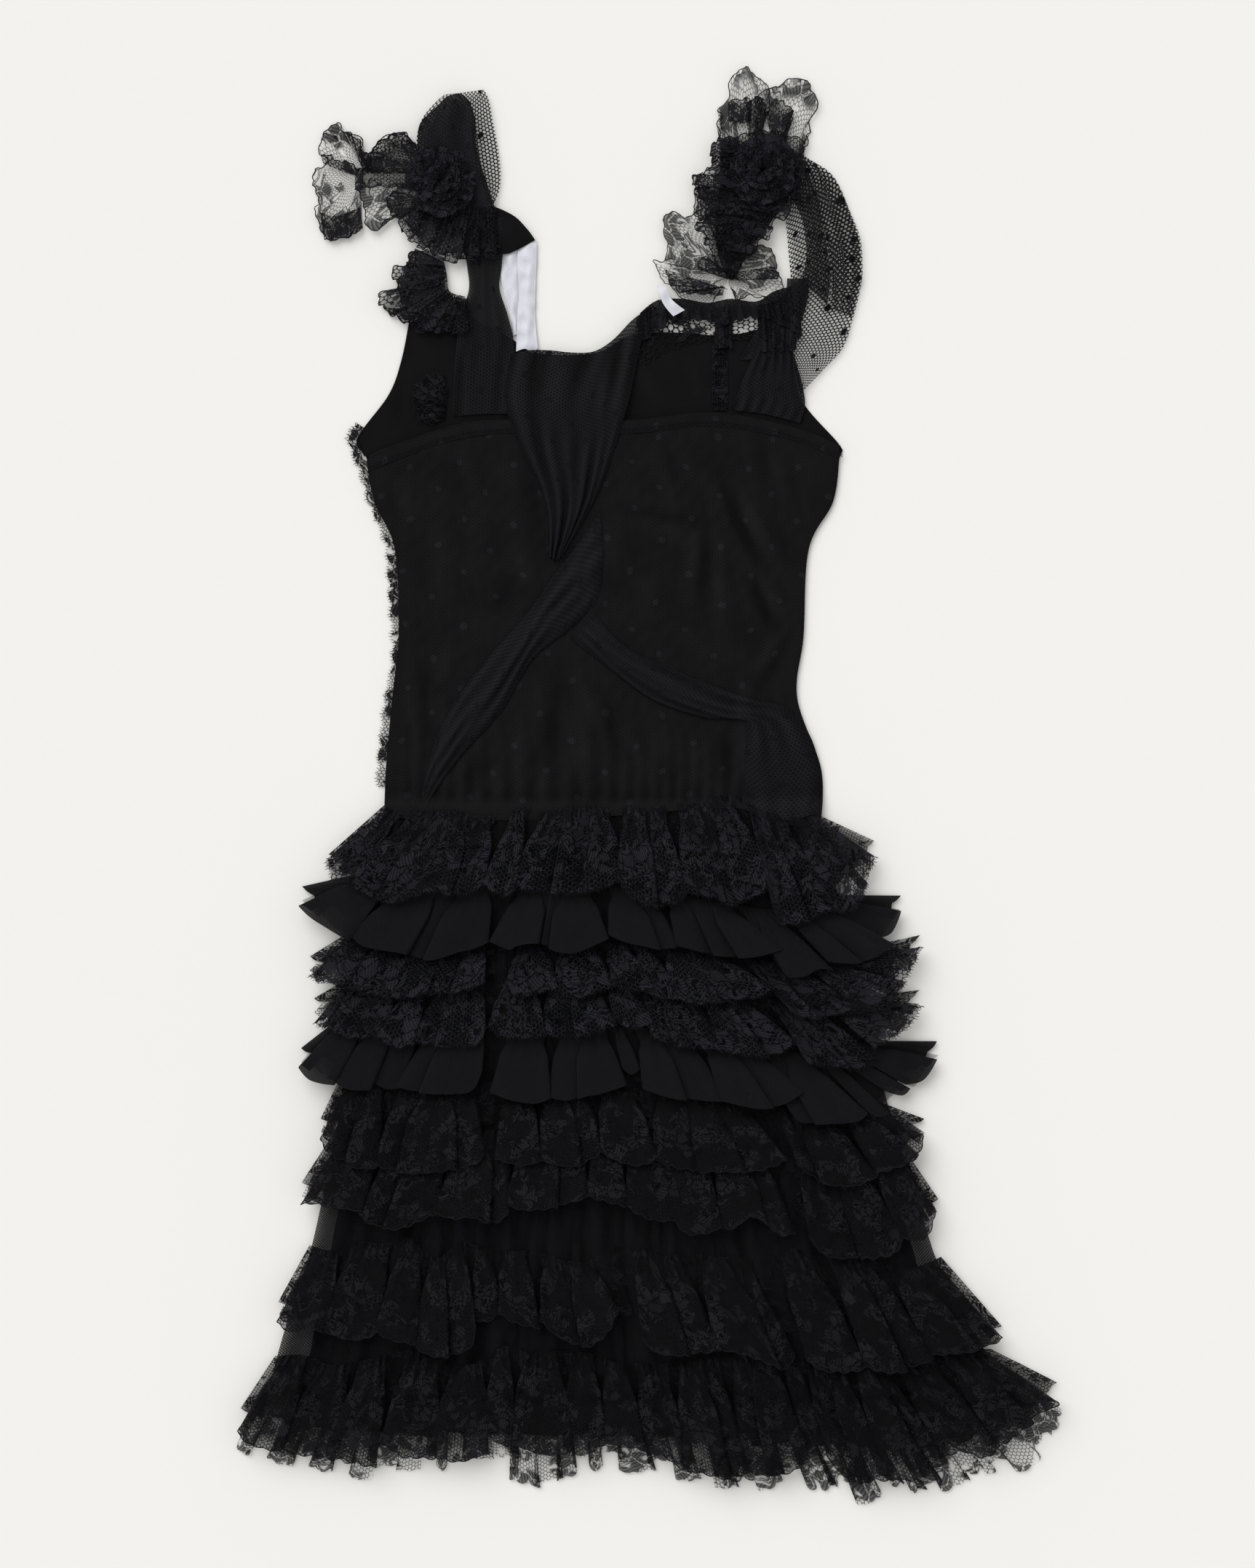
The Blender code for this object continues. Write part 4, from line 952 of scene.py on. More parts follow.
# %% [markdown]
# The lace ruffles are stiff enough to stand in many narrow folds with a scalloped edge. Chiffon is softer
# and its folds are broad and flat, with a plain rolled hem. On the back each ruffle is a row of lobes over a
# flatter length of the same cloth. A lobe runs from its stretch of the seam to its own hem. Its cloth turns
# under at the sides and lies over itself at each pleat. The front lengths lie pressed on the table under the
# skirt, and show only at the sides and below the last hem.

# %% Tables of the front hem and the lobes
FRONT_HEM_9 = curves(
    "-320,-505 -312,-520 -262,-530 -215,-540 -161,-531 -118,-528 -84,-555 -52,-534 -20,-532 30,-541 "
    "73,-551 105,-541 140,-548 165,-558 190,-546 217,-554 262,-541 300,-530 324,-492")[0]
FRONT_GROUND = 1.4      # height at which the front lengths rest on the table
LOBES = {
    "1": curves(
        "-253,-62 -249,-74 -239,-79 -228,-80 / -236,-78 -221,-87 -201,-94 -181,-88 -165,-84 -150,-89 "
        "-138,-86 -127,-79 / -130,-79 -120,-87 -111,-90 -104,-84 / -109,-79 -97,-84 -75,-86 -55,-86 "
        "-38,-83 -26,-78 -18,-70 / -25,-75 -17,-86 -4,-95 17,-96 30,-87 / 25,-86 40,-89 53,-91 63,-97 "
        "79,-90 90,-84 98,-78 / 95,-92 103,-110 119,-108 135,-103 147,-100 / 140,-100 153,-102 163,-96 "
        "170,-78 177,-59"),
    "2": curves(
        "-274,-97 -263,-107 -245,-118 -234,-125 / -235,-117 -223,-128 -195,-133 -172,-139 -149,-133 "
        "-135,-130 -125,-126 / -125,-125 -109,-131 -103,-128 -87,-126 -72,-132 -58,-133 -41,-127 -31,-123 "
        "/ -32,-120 -19,-125 -4,-128 11,-131 25,-129 / 21,-128 39,-133 62,-137 84,-136 105,-131 / 97,-137 "
        "105,-150 119,-152 133,-146 145,-148 / 140,-141 164,-141 180,-135 192,-127 / 178,-123 190,-118 "
        "198,-101"),
    "3": curves(
        "-265,-152 -258,-157 -247,-157 -237,-160 / -242,-158 -228,-164 -215,-165 -206,-162 / -214,-166 "
        "-196,-168 -180,-166 -172,-162 / -181,-162 -164,-166 -142,-162 -128,-156 / -112,-158 -103,-166 "
        "-87,-164 -71,-160 / -74,-164 -61,-168 -44,-166 -26,-159 / -28,-157 -14,-164 5,-161 / -1,-164 "
        "13,-169 27,-169 / 21,-169 39,-172 62,-169 82,-168 97,-161 / 101,-168 116,-182 136,-183 156,-180 "
        "173,-181 / 164,-178 184,-175 198,-158 212,-129"),
    "4": curves(
        "-262,-189 -253,-192 -245,-191 / -254,-190 -239,-197 -223,-199 -207,-197 / -212,-199 -198,-206 "
        "-182,-203 / -186,-202 -166,-206 -144,-206 -132,-202 -127,-192 / -125,-189 -115,-198 -98,-200 "
        "-80,-197 / -84,-197 -64,-199 -44,-196 -25,-189 / -27,-186 -13,-191 5,-188 / 1,-199 19,-204 "
        "39,-207 62,-211 / 56,-210 82,-213 101,-211 114,-202 / 117,-199 122,-217 141,-220 164,-223 "
        "179,-216 / 176,-208 196,-196 204,-188 213,-175"),
    "5": curves(
        "-274,-223 -264,-233 -245,-237 / -247,-233 -235,-240 -217,-241 / -219,-233 -206,-240 -194,-240 / "
        "-198,-238 -180,-242 -155,-243 -138,-241 -130,-227 / -124,-242 -109,-248 -89,-251 -76,-247 / "
        "-79,-246 -64,-249 -50,-245 -34,-242 -17,-237 / -21,-224 -14,-229 -6,-225 / -5,-240 16,-246 "
        "42,-249 62,-250 / 56,-249 84,-254 104,-252 121,-242 / 108,-254 119,-266 141,-266 162,-265 "
        "171,-259 / 169,-257 179,-262 189,-260 / 185,-242 198,-245 205,-240 / 201,-237 215,-233 226,-217"),
    "6": curves(
        "-256,-278 -249,-288 -232,-299 -212,-302 / -217,-299 -189,-304 -161,-302 -138,-299 -128,-291 / "
        "-120,-294 -101,-299 -84,-297 / -87,-295 -67,-299 -49,-297 -35,-288 / -38,-288 -24,-296 -7,-298 "
        "7,-294 / 3,-294 27,-302 53,-303 84,-303 108,-295 / 116,-299 136,-312 158,-314 179,-308 / 176,-306 "
        "196,-299 211,-289 215,-276"),
    "7": curves(
        "-271,-329 -260,-329 -246,-332 -223,-335 / -227,-335 -217,-345 -198,-347 -175,-341 -164,-336 / "
        "-168,-335 -152,-340 -138,-338 -121,-343 -109,-336 / -113,-329 -98,-333 -81,-333 -61,-329 -46,-323 "
        "/ -49,-322 -32,-328 -17,-331 / -19,-329 -7,-337 7,-342 25,-341 / 19,-341 30,-352 46,-352 57,-345 "
        "/ 54,-347 67,-348 79,-338 90,-343 101,-353 114,-352 / 125,-356 135,-367 147,-372 167,-370 "
        "188,-368 198,-357 / 193,-353 207,-357 218,-352 223,-333"),
    "8": curves(
        "-290,-421 -279,-428 -263,-426 -254,-430 / -258,-426 -241,-433 -223,-434 -210,-429 / -214,-428 "
        "-201,-434 -181,-439 / -186,-437 -172,-445 -156,-447 -139,-441 -135,-425 / -138,-417 -128,-422 "
        "-115,-413 / -117,-413 -104,-422 -84,-426 / -85,-420 -68,-434 -50,-439 -33,-429 -24,-411 / -5,-435 "
        "7,-445 33,-445 56,-443 / 52,-442 73,-446 93,-452 106,-457 114,-447 / 123,-451 136,-458 153,-459 "
        "171,-457 / 168,-454 187,-460 207,-455 222,-449 / 218,-447 238,-445 258,-441 276,-434"),
    "9": curves(
        "-320,-505 -312,-514 -296,-519 -285,-523 / -288,-519 -274,-524 -258,-526 -245,-529 / -252,-525 "
        "-238,-526 -221,-534 -213,-535 / -211,-518 -198,-522 -184,-527 -166,-528 / -172,-525 -155,-529 "
        "-138,-528 -125,-524 / -130,-510 -115,-516 -103,-518 / -107,-518 -92,-522 -75,-524 -58,-522 / "
        "-64,-522 -47,-523 -31,-516 / -34,-515 -18,-518 -1,-522 / -5,-520 10,-525 22,-534 33,-539 / "
        "27,-534 44,-539 62,-541 79,-538 / 73,-535 90,-541 110,-539 125,-526 / 121,-522 130,-525 142,-520 "
        "/ 139,-527 153,-541 170,-545 190,-544 / 184,-542 204,-544 221,-536 233,-530 / 227,-527 244,-523 "
        "261,-526 274,-518 / 269,-516 281,-514 295,-502 319,-484"),
}
print("%d lobes on the back's ruffles" % sum(len(lobes) for lobes in LOBES.values()))

# %% Profile of a lobe
LOBE_LIFT = 18.0        # how high a lobe of the back stands over the skirt at its hem
LOBE_DIP = 4.0          # how much shorter the cloth under a lobe's sides is than on its top
NARROW_LOBE = 26.0      # lobes narrower than this lie low between the others
HEADER = 7.0            # the first ruffle's gathered header stands this far over the bodice
UNDER_RISE = 14.0       # the flatter length under the lobes ends this far above their hem
SEAM_SHARE = 0.74       # width of a lobe at its seam, as a share of its hem's place in the skirt
CURL = 9.0              # how far a lobe's cloth turns back under at its sides
TUCK = 6.0              # how far a pleat lies over the cloth beside it
PLEAT_PITCH = 34.0      # rough distance between the pleats of a lobe


def lobe_profile(width, lift, rng):
    """Across and height of a lobe's hem, which turns under at its sides and lies over at each pleat."""
    curl = min(CURL, 0.3 * width)
    points = [(curl, 0.0), (0.3 * curl, 0.14 * lift), (0.0, 0.45 * lift), (0.25 * curl, 0.80 * lift)]
    count = max(0, round(width / PLEAT_PITCH) - 1)
    places = (np.arange(1, count + 1) + rng.uniform(-0.25, 0.25, count)) / (count + 1) * width
    for middle, way in zip(places, rng.choice([-1, 1], count)):
        size, high = TUCK * rng.uniform(0.5, 1.3), lift * rng.uniform(0.92, 1.12)
        fold = [(middle + 0.8 * size, high), (middle + size, 0.93 * high), (middle + 0.6 * size, 0.84 * high),
                (middle - 0.8 * size, 0.66 * high), (middle - size, 0.58 * high), (middle, 0.56 * high),
                (middle + 2.2 * size, 0.74 * high)]
        if way < 0:
            fold = [(2 * middle - x, z) for x, z in reversed(fold)]
        points += fold
    points += [(width - 0.25 * curl, 0.80 * lift), (width, 0.45 * lift), (width - 0.3 * curl, 0.14 * lift),
               (width - curl, 0.0)]
    return points


# %% A lobe from seam to hem
def lobe(seam, hem, seed, base, lift, step, rows, scallop, crimp, flutter):
    """One bell of a ruffle from its seam to its hem."""
    rng = np.random.default_rng(seed)
    hem_curve, seam_curve = spline(hem), spline(seam)
    width = arc(hem_curve(np.linspace(0, 1, 60)))[-1]
    outline = spline(lobe_profile(width, lift, rng))
    count = max(24, int(arc(outline(np.linspace(0, 1, 200)))[-1] / step))
    even = np.linspace(0.0, 1.0, count)
    across, height = outline(even).T
    folded, high = across / width, height / max(lift, 1e-6)
    fine = np.sin(2 * math.pi * even * width / 9.0 + rng.uniform(0, 6)) * np.sin(even * width / 11.0 + seed)
    swing = flutter * ripple(even * width, 0 * even, seed, 16.0)
    grid = np.zeros((rows, count, 3))
    for j, v in enumerate(np.linspace(0.0, 1.0, rows)):
        spread = smooth(v / 0.5)
        a = np.clip(even * (1 - spread) + folded * spread, 0.0, 1.0)
        top, end = seam_curve(a), hem_curve(a)
        down = end - top
        depth = np.linalg.norm(down, axis=1, keepdims=True)
        down = down / np.maximum(depth, 1e-6)
        reach = v * (depth[:, 0] + (LOBE_DIP * (np.minimum(high, 1.0) - 1.0) + swing) * v)
        flat = top + down * reach[:, None]
        rise = v ** 0.55 * (height * spread
                            + 0.6 * lift * (1 - spread) * np.sin(math.pi * even).clip(0) ** 0.5)
        grid[j, :, :2] = flat
        grid[j, :, 2] = base(flat[:, 0], flat[:, 1]) + rise + crimp * (1.0 + fine) * (1.0 - v) ** 2
    grid[..., 2] += 0.35 * ripple(grid[..., 0], grid[..., 1], seed, 13.0) * np.linspace(0, 1, rows)[:, None]
    return hemmed(grid, down, scallop, seed)


def lobe_seam(ruffle, line, hem):
    """The stretch of the seam that one lobe is gathered to."""
    left, right = ruffle.left[0], ruffle.right[0]
    shares = [(hem[0][0] - left) / (right - left), (hem[-1][0] - left) / (right - left)]
    middle = sum(shares) / 2
    return [tuple(p) for p in spline(line)(np.linspace(middle + SEAM_SHARE * (shares[0] - middle),
                                                        middle + SEAM_SHARE * (shares[1] - middle), 5))]


WAVY_POINTS = 26        # places where the gathers pull at a seam


def wavy(seam, seed, rise):
    """A seam that its gathers pull up and down, as it shows where no other ruffle lies over it."""
    rng = np.random.default_rng(seed)
    points = spline(seam)(np.linspace(0, 1, WAVY_POINTS))
    return [(x, y + dy) for (x, y), dy in zip(points, rng.uniform(-2.0, rise, WAVY_POINTS))]


# %% Ruffles of the back
FLORAL_FROM = 5         # from the sixth ruffle on, the lace is the wide floral kind with a corded edge


def back_ruffle(ruffle, before, number):
    """A ruffle of the back: bells over a lower, flatter length of the same cloth."""
    lace = ruffle.cloth == "lace"
    seam = ruffle_seam(ruffle, before)
    last = ruffle.name == "9"

    def base(x, y):
        header = (back_level(x, y) + 1.0) * smooth((y + 44.0) / 8.0) if before is None else 0.0
        return np.maximum(skirt_top(x, y) + 1.6, header)

    if before is None:
        seam = wavy(raised(seam, HEADER), 31, 5.0)
    if ruffle.own_seam:
        seam = wavy(seam, 31 + number, 16.0)
    layers = [gathered(seam, raised(ruffle_hem(ruffle), UNDER_RISE), ruffle.folds, 11 + number, skirt_top,
                       lift=1.2, sway=1.0, overlap=0.10, rows=8, steps=30, dip=1.5)]
    for index, hem in enumerate(LOBES[ruffle.name]):
        narrow = abs(hem[-1][0] - hem[0][0]) < NARROW_LOBE
        lift = LOBE_LIFT * (0.45 if narrow else 0.86 if index % 2 else 1.0)
        layers.append(lobe(lobe_seam(ruffle, seam, hem), hem, 101 + 20 * number + index, base, lift,
                           step=1.7 if lace else 2.6, rows=16, scallop=(11.0, 1.8) if lace else None,
                           crimp=1.6 if last else 0.8, flutter=2.2 if last else 0.9 if lace else 0.0))
    material = CHIFFON if not lace else LACE if number < FLORAL_FROM else FLORAL_LACE
    piece = sheet("ruffle_%s_back_cloth" % ruffle.name, layers, material,
                  UNDER_LACE if lace else UNDER_CHIFFON)
    trims = []
    if lace:
        trims.append(threads("ruffle_%s_edge" % ruffle.name, edge_lines(layers[1:]),
                             EYELASH if number < FLORAL_FROM else CORD))
    sew_in(piece, layers, ["ruffle_%s_back" % ruffle.name], ruffle.cloth, trims)


# %% Ruffles of the front, and the order of sewing
def front_ruffle(ruffle, before, number):
    """The same ruffle on the front, pressed flat under the dress."""
    seam = raised(ruffle_seam(ruffle, before), -4 if before is None else 0)
    last = ruffle.name == "9"
    hem = FRONT_HEM_9 if last else raised(ruffle_hem(ruffle), FRONT_RISE)
    layers = [gathered(seam, hem, ruffle.folds, 41 + number, lambda x, y: np.full_like(x, FRONT_GROUND),
                       lift=0.9, sway=0.7, overlap=0.16, rows=10, steps=44 if last else 30,
                       dip=5.0 if last else 2.0, crimp=0.4, ends=0.02,
                       scallop=(11.0, 2.4) if last else (11.0, 1.2))]
    piece = sheet("ruffle_%s_front_cloth" % ruffle.name, layers,
                  SHEER_LACE if ruffle.cloth == "lace" else SHEER_CHIFFON)
    sew_in(piece, layers, ["ruffle_%s_front" % ruffle.name], ruffle.cloth)


previous = None
for number, ruffle in enumerate(RUFFLES):
    back_ruffle(ruffle, previous, number)
    front_ruffle(ruffle, previous, number)
    previous = ruffle

# %% [markdown]
# ## Bodice
#
# Front and back are cut from jersey. The front shows only above the back's top edge. The back lies loosely
# stretched, so that long soft creases run down from its top edge and up from the waist seam.

# %% Front and back of jersey
sides = BODICE[(BODICE[:, 0] > -20) & (BODICE[:, 0] < 260)]
west, east = [(left, y) for y, left, _ in sides], [(right, y) for y, _, right in sides]
FRONT_SEAMS = curves("-198,338,-196,250,-1,3 -150,350,-155,270,0.8,6 -88,334,-70,285,0.9,6 "
                     "-20,345,10,290,0.9,7 30,335,42,292,0.7,6 -120,330,-112,290,0.8,5")[0]
points, u, v = panel(raised(WAIST, -4), FRONT_TOP, west + ARMHOLE_LEFT, east + ARMHOLE_RIGHT,
                     columns=90, rows=100)
x, y = points[..., 0], points[..., 1]
lift = smooth((y - 270) / 25.0) * smooth(np.minimum(u, 1 - u) / 0.04)
grid = np.dstack([x, y, WALL + (folds(FRONT_SEAMS, x, y) * 0.9 + 0.3 * ripple(x, y, 7, 34.0)) * lift])
layers = [(grid, grid[..., :2], False)]
sew_in(sheet("front_bodice_cloth", layers, JERSEY), layers, ["front_bodice"], "knit")

points, u, v = panel(WAIST, BACK_TOP, west, east, columns=170, rows=150)
x, y = points[..., 0], points[..., 1]
calm = smooth(np.minimum(u, 1 - u) / 0.06) * smooth((y + 22) / 14.0) * smooth((1 - v) / 0.04 + 0.2)
gathers = np.sin(2 * math.pi * (26 * u + 0.8 * np.sin(9 * u))) * np.exp(-np.maximum(y + 26, 0) / 30.0)
wrinkle = 0.35 * ripple(x, y, 21, 46.0) + 0.22 * ripple(1.6 * x, y, 22, 19.0) + 1.2 * gathers
grid = np.dstack([x, y, back_level(x, y) + 0.4 + wrinkle * calm])
layers = [(grid, grid[..., :2], False)]
sew_in(sheet("back_bodice_cloth", layers, BACK_JERSEY), layers, ["back_bodice"], "knit")

# %% [markdown]
# ## Sashes
#
# Two sashes of dotted tulle are gathered lengthwise and cross on the back like a loose knot. Tulle that is
# pulled along its length falls into fine cords, so each sash is a panel whose height waves across its width.
# The waves wander a little along the way, as twisted cloth does.

# %% Cords in pulled tulle
def cords(u, v, count, seed, drift=0.25):
    """Fine folds that run along u and sit side by side across v, between zero and one."""
    rng = np.random.default_rng(seed)
    total = np.zeros_like(u)
    for _ in range(4):
        number, phase = count * rng.uniform(0.6, 1.4), rng.uniform(0, 6.28)
        wander = drift * np.sin(2 * math.pi * rng.uniform(0.6, 1.6) * u + phase)
        total += np.sin(2 * math.pi * (number * v + wander) + phase)
    return 0.5 + total / 8


STITCH_RISE = 0.25      # half the thickness of the stitching thread, above its cloth


def tulle_panel(name, node, edges, height, material, columns, rows, slot="dotted_tulle",
                stretch=(1.0, 1.0), stitched=()):
    """A panel between its bottom, top, left and right edges, stitched along the rows that are named."""
    points, u, v = panel(*(curves(edges) if isinstance(edges, str) else edges), columns=columns, rows=rows)
    x, y = points[..., 0], points[..., 1]
    grid = np.dstack([x, y, height(x, y, u, v)])
    layers = [(grid, flat_cloth(grid, 7.0 * len(name), 5.0 * len(name)) * stretch, False)]
    piece = sheet(name, layers, material)
    trims = []
    if stitched:
        lines = [(grid[row] + (0, 0, STITCH_RISE), np.gradient(grid[row], axis=0)) for row in stitched]
        lines = [(line, way / np.linalg.norm(way, axis=1, keepdims=True)) for line, way in lines]
        trims = [threads(name + "_stitches", lines, STITCH)]
    sew_in(piece, layers, [node] if node else [], slot, trims)


# %% Sashes
def drape_height(x, y, u, v):
    """Height of the neck drape, on the back below its top edge and on the front above it."""
    on_panel = back_level(x, y) + LAYER + 0.4
    ease = smooth((y - 290.0) / 40.0)
    edge = smooth(np.minimum(u, 1 - u) / 0.08)
    return on_panel * (1 - ease) + 4.0 * ease + 4.4 * cords(v, u, 4.2, 5, 0.22) * edge


tulle_panel("neck_drape_cloth", "neck_drape",
            "-78,176 -73,173 -67,177 / -108,334 -88,338 -42,337 -12,362 -2,368 / -82,219 -102,265 -113,300 / "
            "-52,202 -37,232 -20,283 -10,325",
            drape_height, DENSE_DOTTED, 110, 110)


def roll_height(x, y, u, v):
    """Height of the left sash, rolled along its middle and flat at both ends."""
    ends = smooth(u / 0.1 + 0.3) * smooth((1.0 - u) / 0.12 + 0.1)
    ridge = 3.0 * np.sin(math.pi * v) ** 0.7 + 3.0 * cords(u, v, 3.2, 8, 0.5) * np.sin(math.pi * v) ** 0.5
    return back_level(x, y) + 0.6 + ridge * ends


tulle_panel("sash_left_cloth", "sash_left",
            "-38,213 -75,162 -92,137 -127,97 -155,60 -172,20 -178,-10 / -40,139 -64,117 -92,94 -115,54 "
            "-144,23 -166,-6 -173,-20 / -36,175",
            roll_height, DENSE_DOTTED, 180, 50)


def hip_height(x, y, u, v):
    """Height of the right sash, rolled like the other and flatter where it ends in a flap."""
    flap = smooth((u - 0.72) / 0.15)
    ridge = 2.4 * np.sin(math.pi * v) ** 0.7 + 2.4 * cords(u, v, 2.8, 15, 0.4)
    return back_level(x, y) + 0.7 + ridge * smooth(u / 0.1 + 0.2) * (1.0 - 0.45 * flap)


tulle_panel("sash_right_cloth", "sash_right",
            "-62,113 -24,83 5,63 44,50 73,47 75,20 74,-20 / -46,134 -16,105 18,88 73,67 107,58 126,36 "
            "134,6 133,-24 / / 104,-30",
            hip_height, DENSE_DOTTED, 190, 44)


def band_height(x, y, u, v):
    """Height of the band turned over along the back's top edge."""
    return back_level(x, y) + 0.7 + 0.7 * np.sin(math.pi * v) ** 0.5 + 0.15 * ripple(x, y, 31, 13.0)


tulle_panel("back_band_cloth", "back_band", [raised(BACK_TOP, -11), raised(BACK_TOP, -0.5)], band_height,
            BACK_JERSEY, 240, 8, "knit", stitched=(2, 3))

# %% [markdown]
# ## Inside of the front
#
# Above the back's top edge the inside of the front shows: a lace band along the neckline, an upright ruched
# trim, a small shell of gathered lace at the left cup and gathered dotted tulle at the right armhole.

# %% Trims of the front
tulle_panel("ruched_trim_cloth", "ruched_trim", "49,291 62,291 / 49,342 62,342",
            lambda x, y, u, v: 2.2 + 1.6 * cords(u, v, 9.0, 12,
                                                 0.1) * np.sin(math.pi * u) ** 0.4, LACE, 20, 120,
            "lace", (1.6, 1.6))
tulle_panel("gathered_tulle_right_cloth", "gathered_tulle_right",
            "64,291 90,288 118,281 / 84,342 98,342 112,340 / / 122,300",
            lambda x, y, u, v: 2.2 + 1.8 * cords(v, u, 4.5, 14, 0.2), DENSE_DOTTED, 90, 50)


def frill(name, nodes, strips, material):
    """One piece of several gathered strips, each given as seam and rim, folds, seed, level and shape."""
    layers = [gathered(*curves(seam_and_rim), waves, seed, lambda x, y: np.full_like(x, level), **shape)
              for seam_and_rim, waves, seed, level, shape in strips]
    piece = sheet(name, layers, material)
    cord = threads(name + "_cord", edge_lines(layers), CORD)
    sew_in(piece, layers, nodes, "lace", [cord])


LOBE = dict(lift=1.8, sway=1.6, overlap=0.07, rows=16, steps=30, dip=0.8, scallop=(7.0, 1.2), ends=0.04,
            crimp=0.7, power=0.8, flat_top=0.9)
tulle_panel("neckline_lace_cloth", "neckline_lace",
            "-10,323 19,338 50,345 91,346 / -11,363 2,372 25,365 53,360 91,365",
            lambda x, y, u, v: 2.4 + 0.5 * ripple(x, y, 3, 14.0), EYELET_LACE, 110, 40, "lace")
frill("neckline_lace_header", [], [
    ("-7,367 7,377 27,378 46,375 64,378 84,376 98,384 116,389 / -7,345 7,353 19,362 39,361 62,359 90,364 "
     "120,349", 12, 105, 3.6, LOBE),
    ("52,368 65,368 / 51,340 66,340", 2, 106, 3.0, LOBE),
    ("84,373 119,379 / 87,337 115,338", 4, 107, 3.0, LOBE),
], LINED_LACE)
frill("scalloped_fan_cloth", ["scalloped_fan"], [
    ("-157,306 -160,284 / -159,318 -170,319 -181,311 -184,298 -180,285 -168,279",
     9, 5, 2.4, dict(LOBE, sway=0.9, scallop=(7.0, 2.2))),
], LACE)

# %% [markdown]
# Narrow scalloped lace runs along the left side seam and peeps out past it. The strip follows the edge of
# the front, pushed outwards by its own width.

# %% Side lace
NARROW_LACE = make_lace("narrow_raschel_lace", "#09090B", "#121216", 0.97, 0.92, 0.1, 7.0, 0.38, 2.6)
SIDE_EDGE = curves("-207,-4 -206,9 -203,40 -201,66 -197,90 -196,114 -197,150 -199,182 -206,201 -216,222 "
                   "-223,248 -229,268 -224,278")[0]
SIDE_SCALLOP = 16.0     # length of one scallop of the side lace
line = spline(SIDE_EDGE)(np.linspace(0, 1, 420))
forward = np.gradient(line, axis=0)
outward = np.stack([-forward[:, 1], forward[:, 0]], -1) / np.linalg.norm(forward, axis=1, keepdims=True)
along = arc(line)
reach = 3.5 + 2.6 * np.abs(np.sin(math.pi * along / SIDE_SCALLOP)) + 1.3 * np.sin(along / 21.0)
rows = np.linspace(-3.0, 1.0, 9)
side = np.zeros((len(rows), len(line), 3))
for j, row in enumerate(rows):
    side[j, :, :2] = line + outward * (reach * row if row > 0 else np.full_like(reach, row))[:, None]
    side[j, :, 2] = 1.6 + 0.25 * np.sin(along / 3.1) * max(row, 0.0)
side_cloth = np.dstack([np.broadcast_to(along, side.shape[:2]), side[..., 0] * 0 + rows[:, None] * 5.0])
side_layers = [(side, side_cloth, False)]
side_lace = sheet("side_lace_cloth", side_layers, NARROW_LACE)
sew_in(side_lace, side_layers, ["side_lace"], "lace",
       [threads("side_lace_eyelashes", edge_lines(side_layers), EYELASH)])

# %% [markdown]
# ## Straps
#
# Each strap is dotted tulle, gathered lengthwise. The left one ends in a loop of tulle and a knit tab, from
# which a white satin tape hangs. The right one carries a big flat loop of two layers. Both hold rosettes and
# bows.

# %% Straps, tab and loops of tulle
def strap_height(level, top_level, seed):
    """Height of a strap that climbs from one level to another at its upper end."""
    def height(x, y, u, v):
        ease = smooth((v - 0.75) / 0.2)
        return level * (1 - ease) + top_level * ease + 1.8 * cords(v, u, 3.5, seed, 0.2)
    return height


tulle_panel("strap_left_cloth", "strap_left",
            "-154,286 -130,288 -106,288 / -150,440 -130,444 -112,441 / -152,328 -148,362 -141,385 -142,401 "
            "-144,413 / -105,330 -106,347 -111,367 -117,387 -115,406",
            strap_height(2.2, 3.6, 17), DENSE_DOTTED, 70, 190)
tulle_panel("strap_right_cloth", "strap_right",
            "70,330 92,332 112,336 / 108,394 117,394 125,395 / 90,362 101,371 107,382 / 123,373 125,385",
            strap_height(2.0, 2.8, 18), DENSE_DOTTED, 50, 110)
tulle_panel("strap_right_upper", None,
            "62,394 64,394 67,394 / 56,490 77,494 98,492 / 54,413 52,442 56,470 / 79,417 96,439 109,459",
            strap_height(2.2, 2.8, 19), DENSE_DOTTED, 50, 110)
tulle_panel("strap_tab_cloth", "strap_tab",
            "-119,413 -108,414 -89,424 / -123,451 -113,447 -103,441 -93,430 / -121,431",
            lambda x, y, u, v: 3.6 + 0.9 * np.sin(math.pi * np.clip(v, 0, 1)) * np.sin(math.pi * u) ** 0.5
            + 0.5 * cords(v, u, 2.0, 2), JERSEY, 40, 40, "knit")
tulle_panel("tulle_loop_left_cloth", "tulle_loop_left",
            "-179,440 -150,436 -119,444 / -164,530 -157,536 -147,538 -140,532 / -181,470 -181,493 -180,512 "
            "-173,522 / -119,444 -125,463 -130,478 -135,499 -136,518",
            lambda x, y, u, v: 6.0 + 1.2 * np.sin(math.pi * v) + 2.8 * cords(v, u, 2.6, 23, 0.15)
            * smooth(np.minimum(u, 1 - u) / 0.1), DENSE_DOTTED, 110, 130)
tulle_panel("tulle_flap_left_cloth", None,
            "-150,452 -136,450 -120,456 / -160,538 -144,540 -129,542 / -176,470 -182,499 -178,518 -168,531 / "
            "-121,453 -117,463 -116,476 -118,496 -122,517 -125,533",
            lambda x, y, u, v: 2.6 + 0.5 * ripple(x, y, 9, 30.0) + 1.6 * cords(v, u, 1.6, 6), DOTTED, 80, 110)

# %% Loop of the right strap
def loop_height(extra, seed, sway):
    """Height of one layer of the loop, over the dress at its foot and over the strap higher up."""
    def height(x, y, u, v):
        down = LAYER * (1.0 - smooth((x - 124.0) / 10.0)) * smooth((390 - y) / 30)
        up = 3.3 * (1.0 - smooth((x - 98.0) / 14.0)) * smooth((y - 390) / 30)
        return down + up + extra + sway * cords(u, v, 2.4, seed, 0.35)
    return height


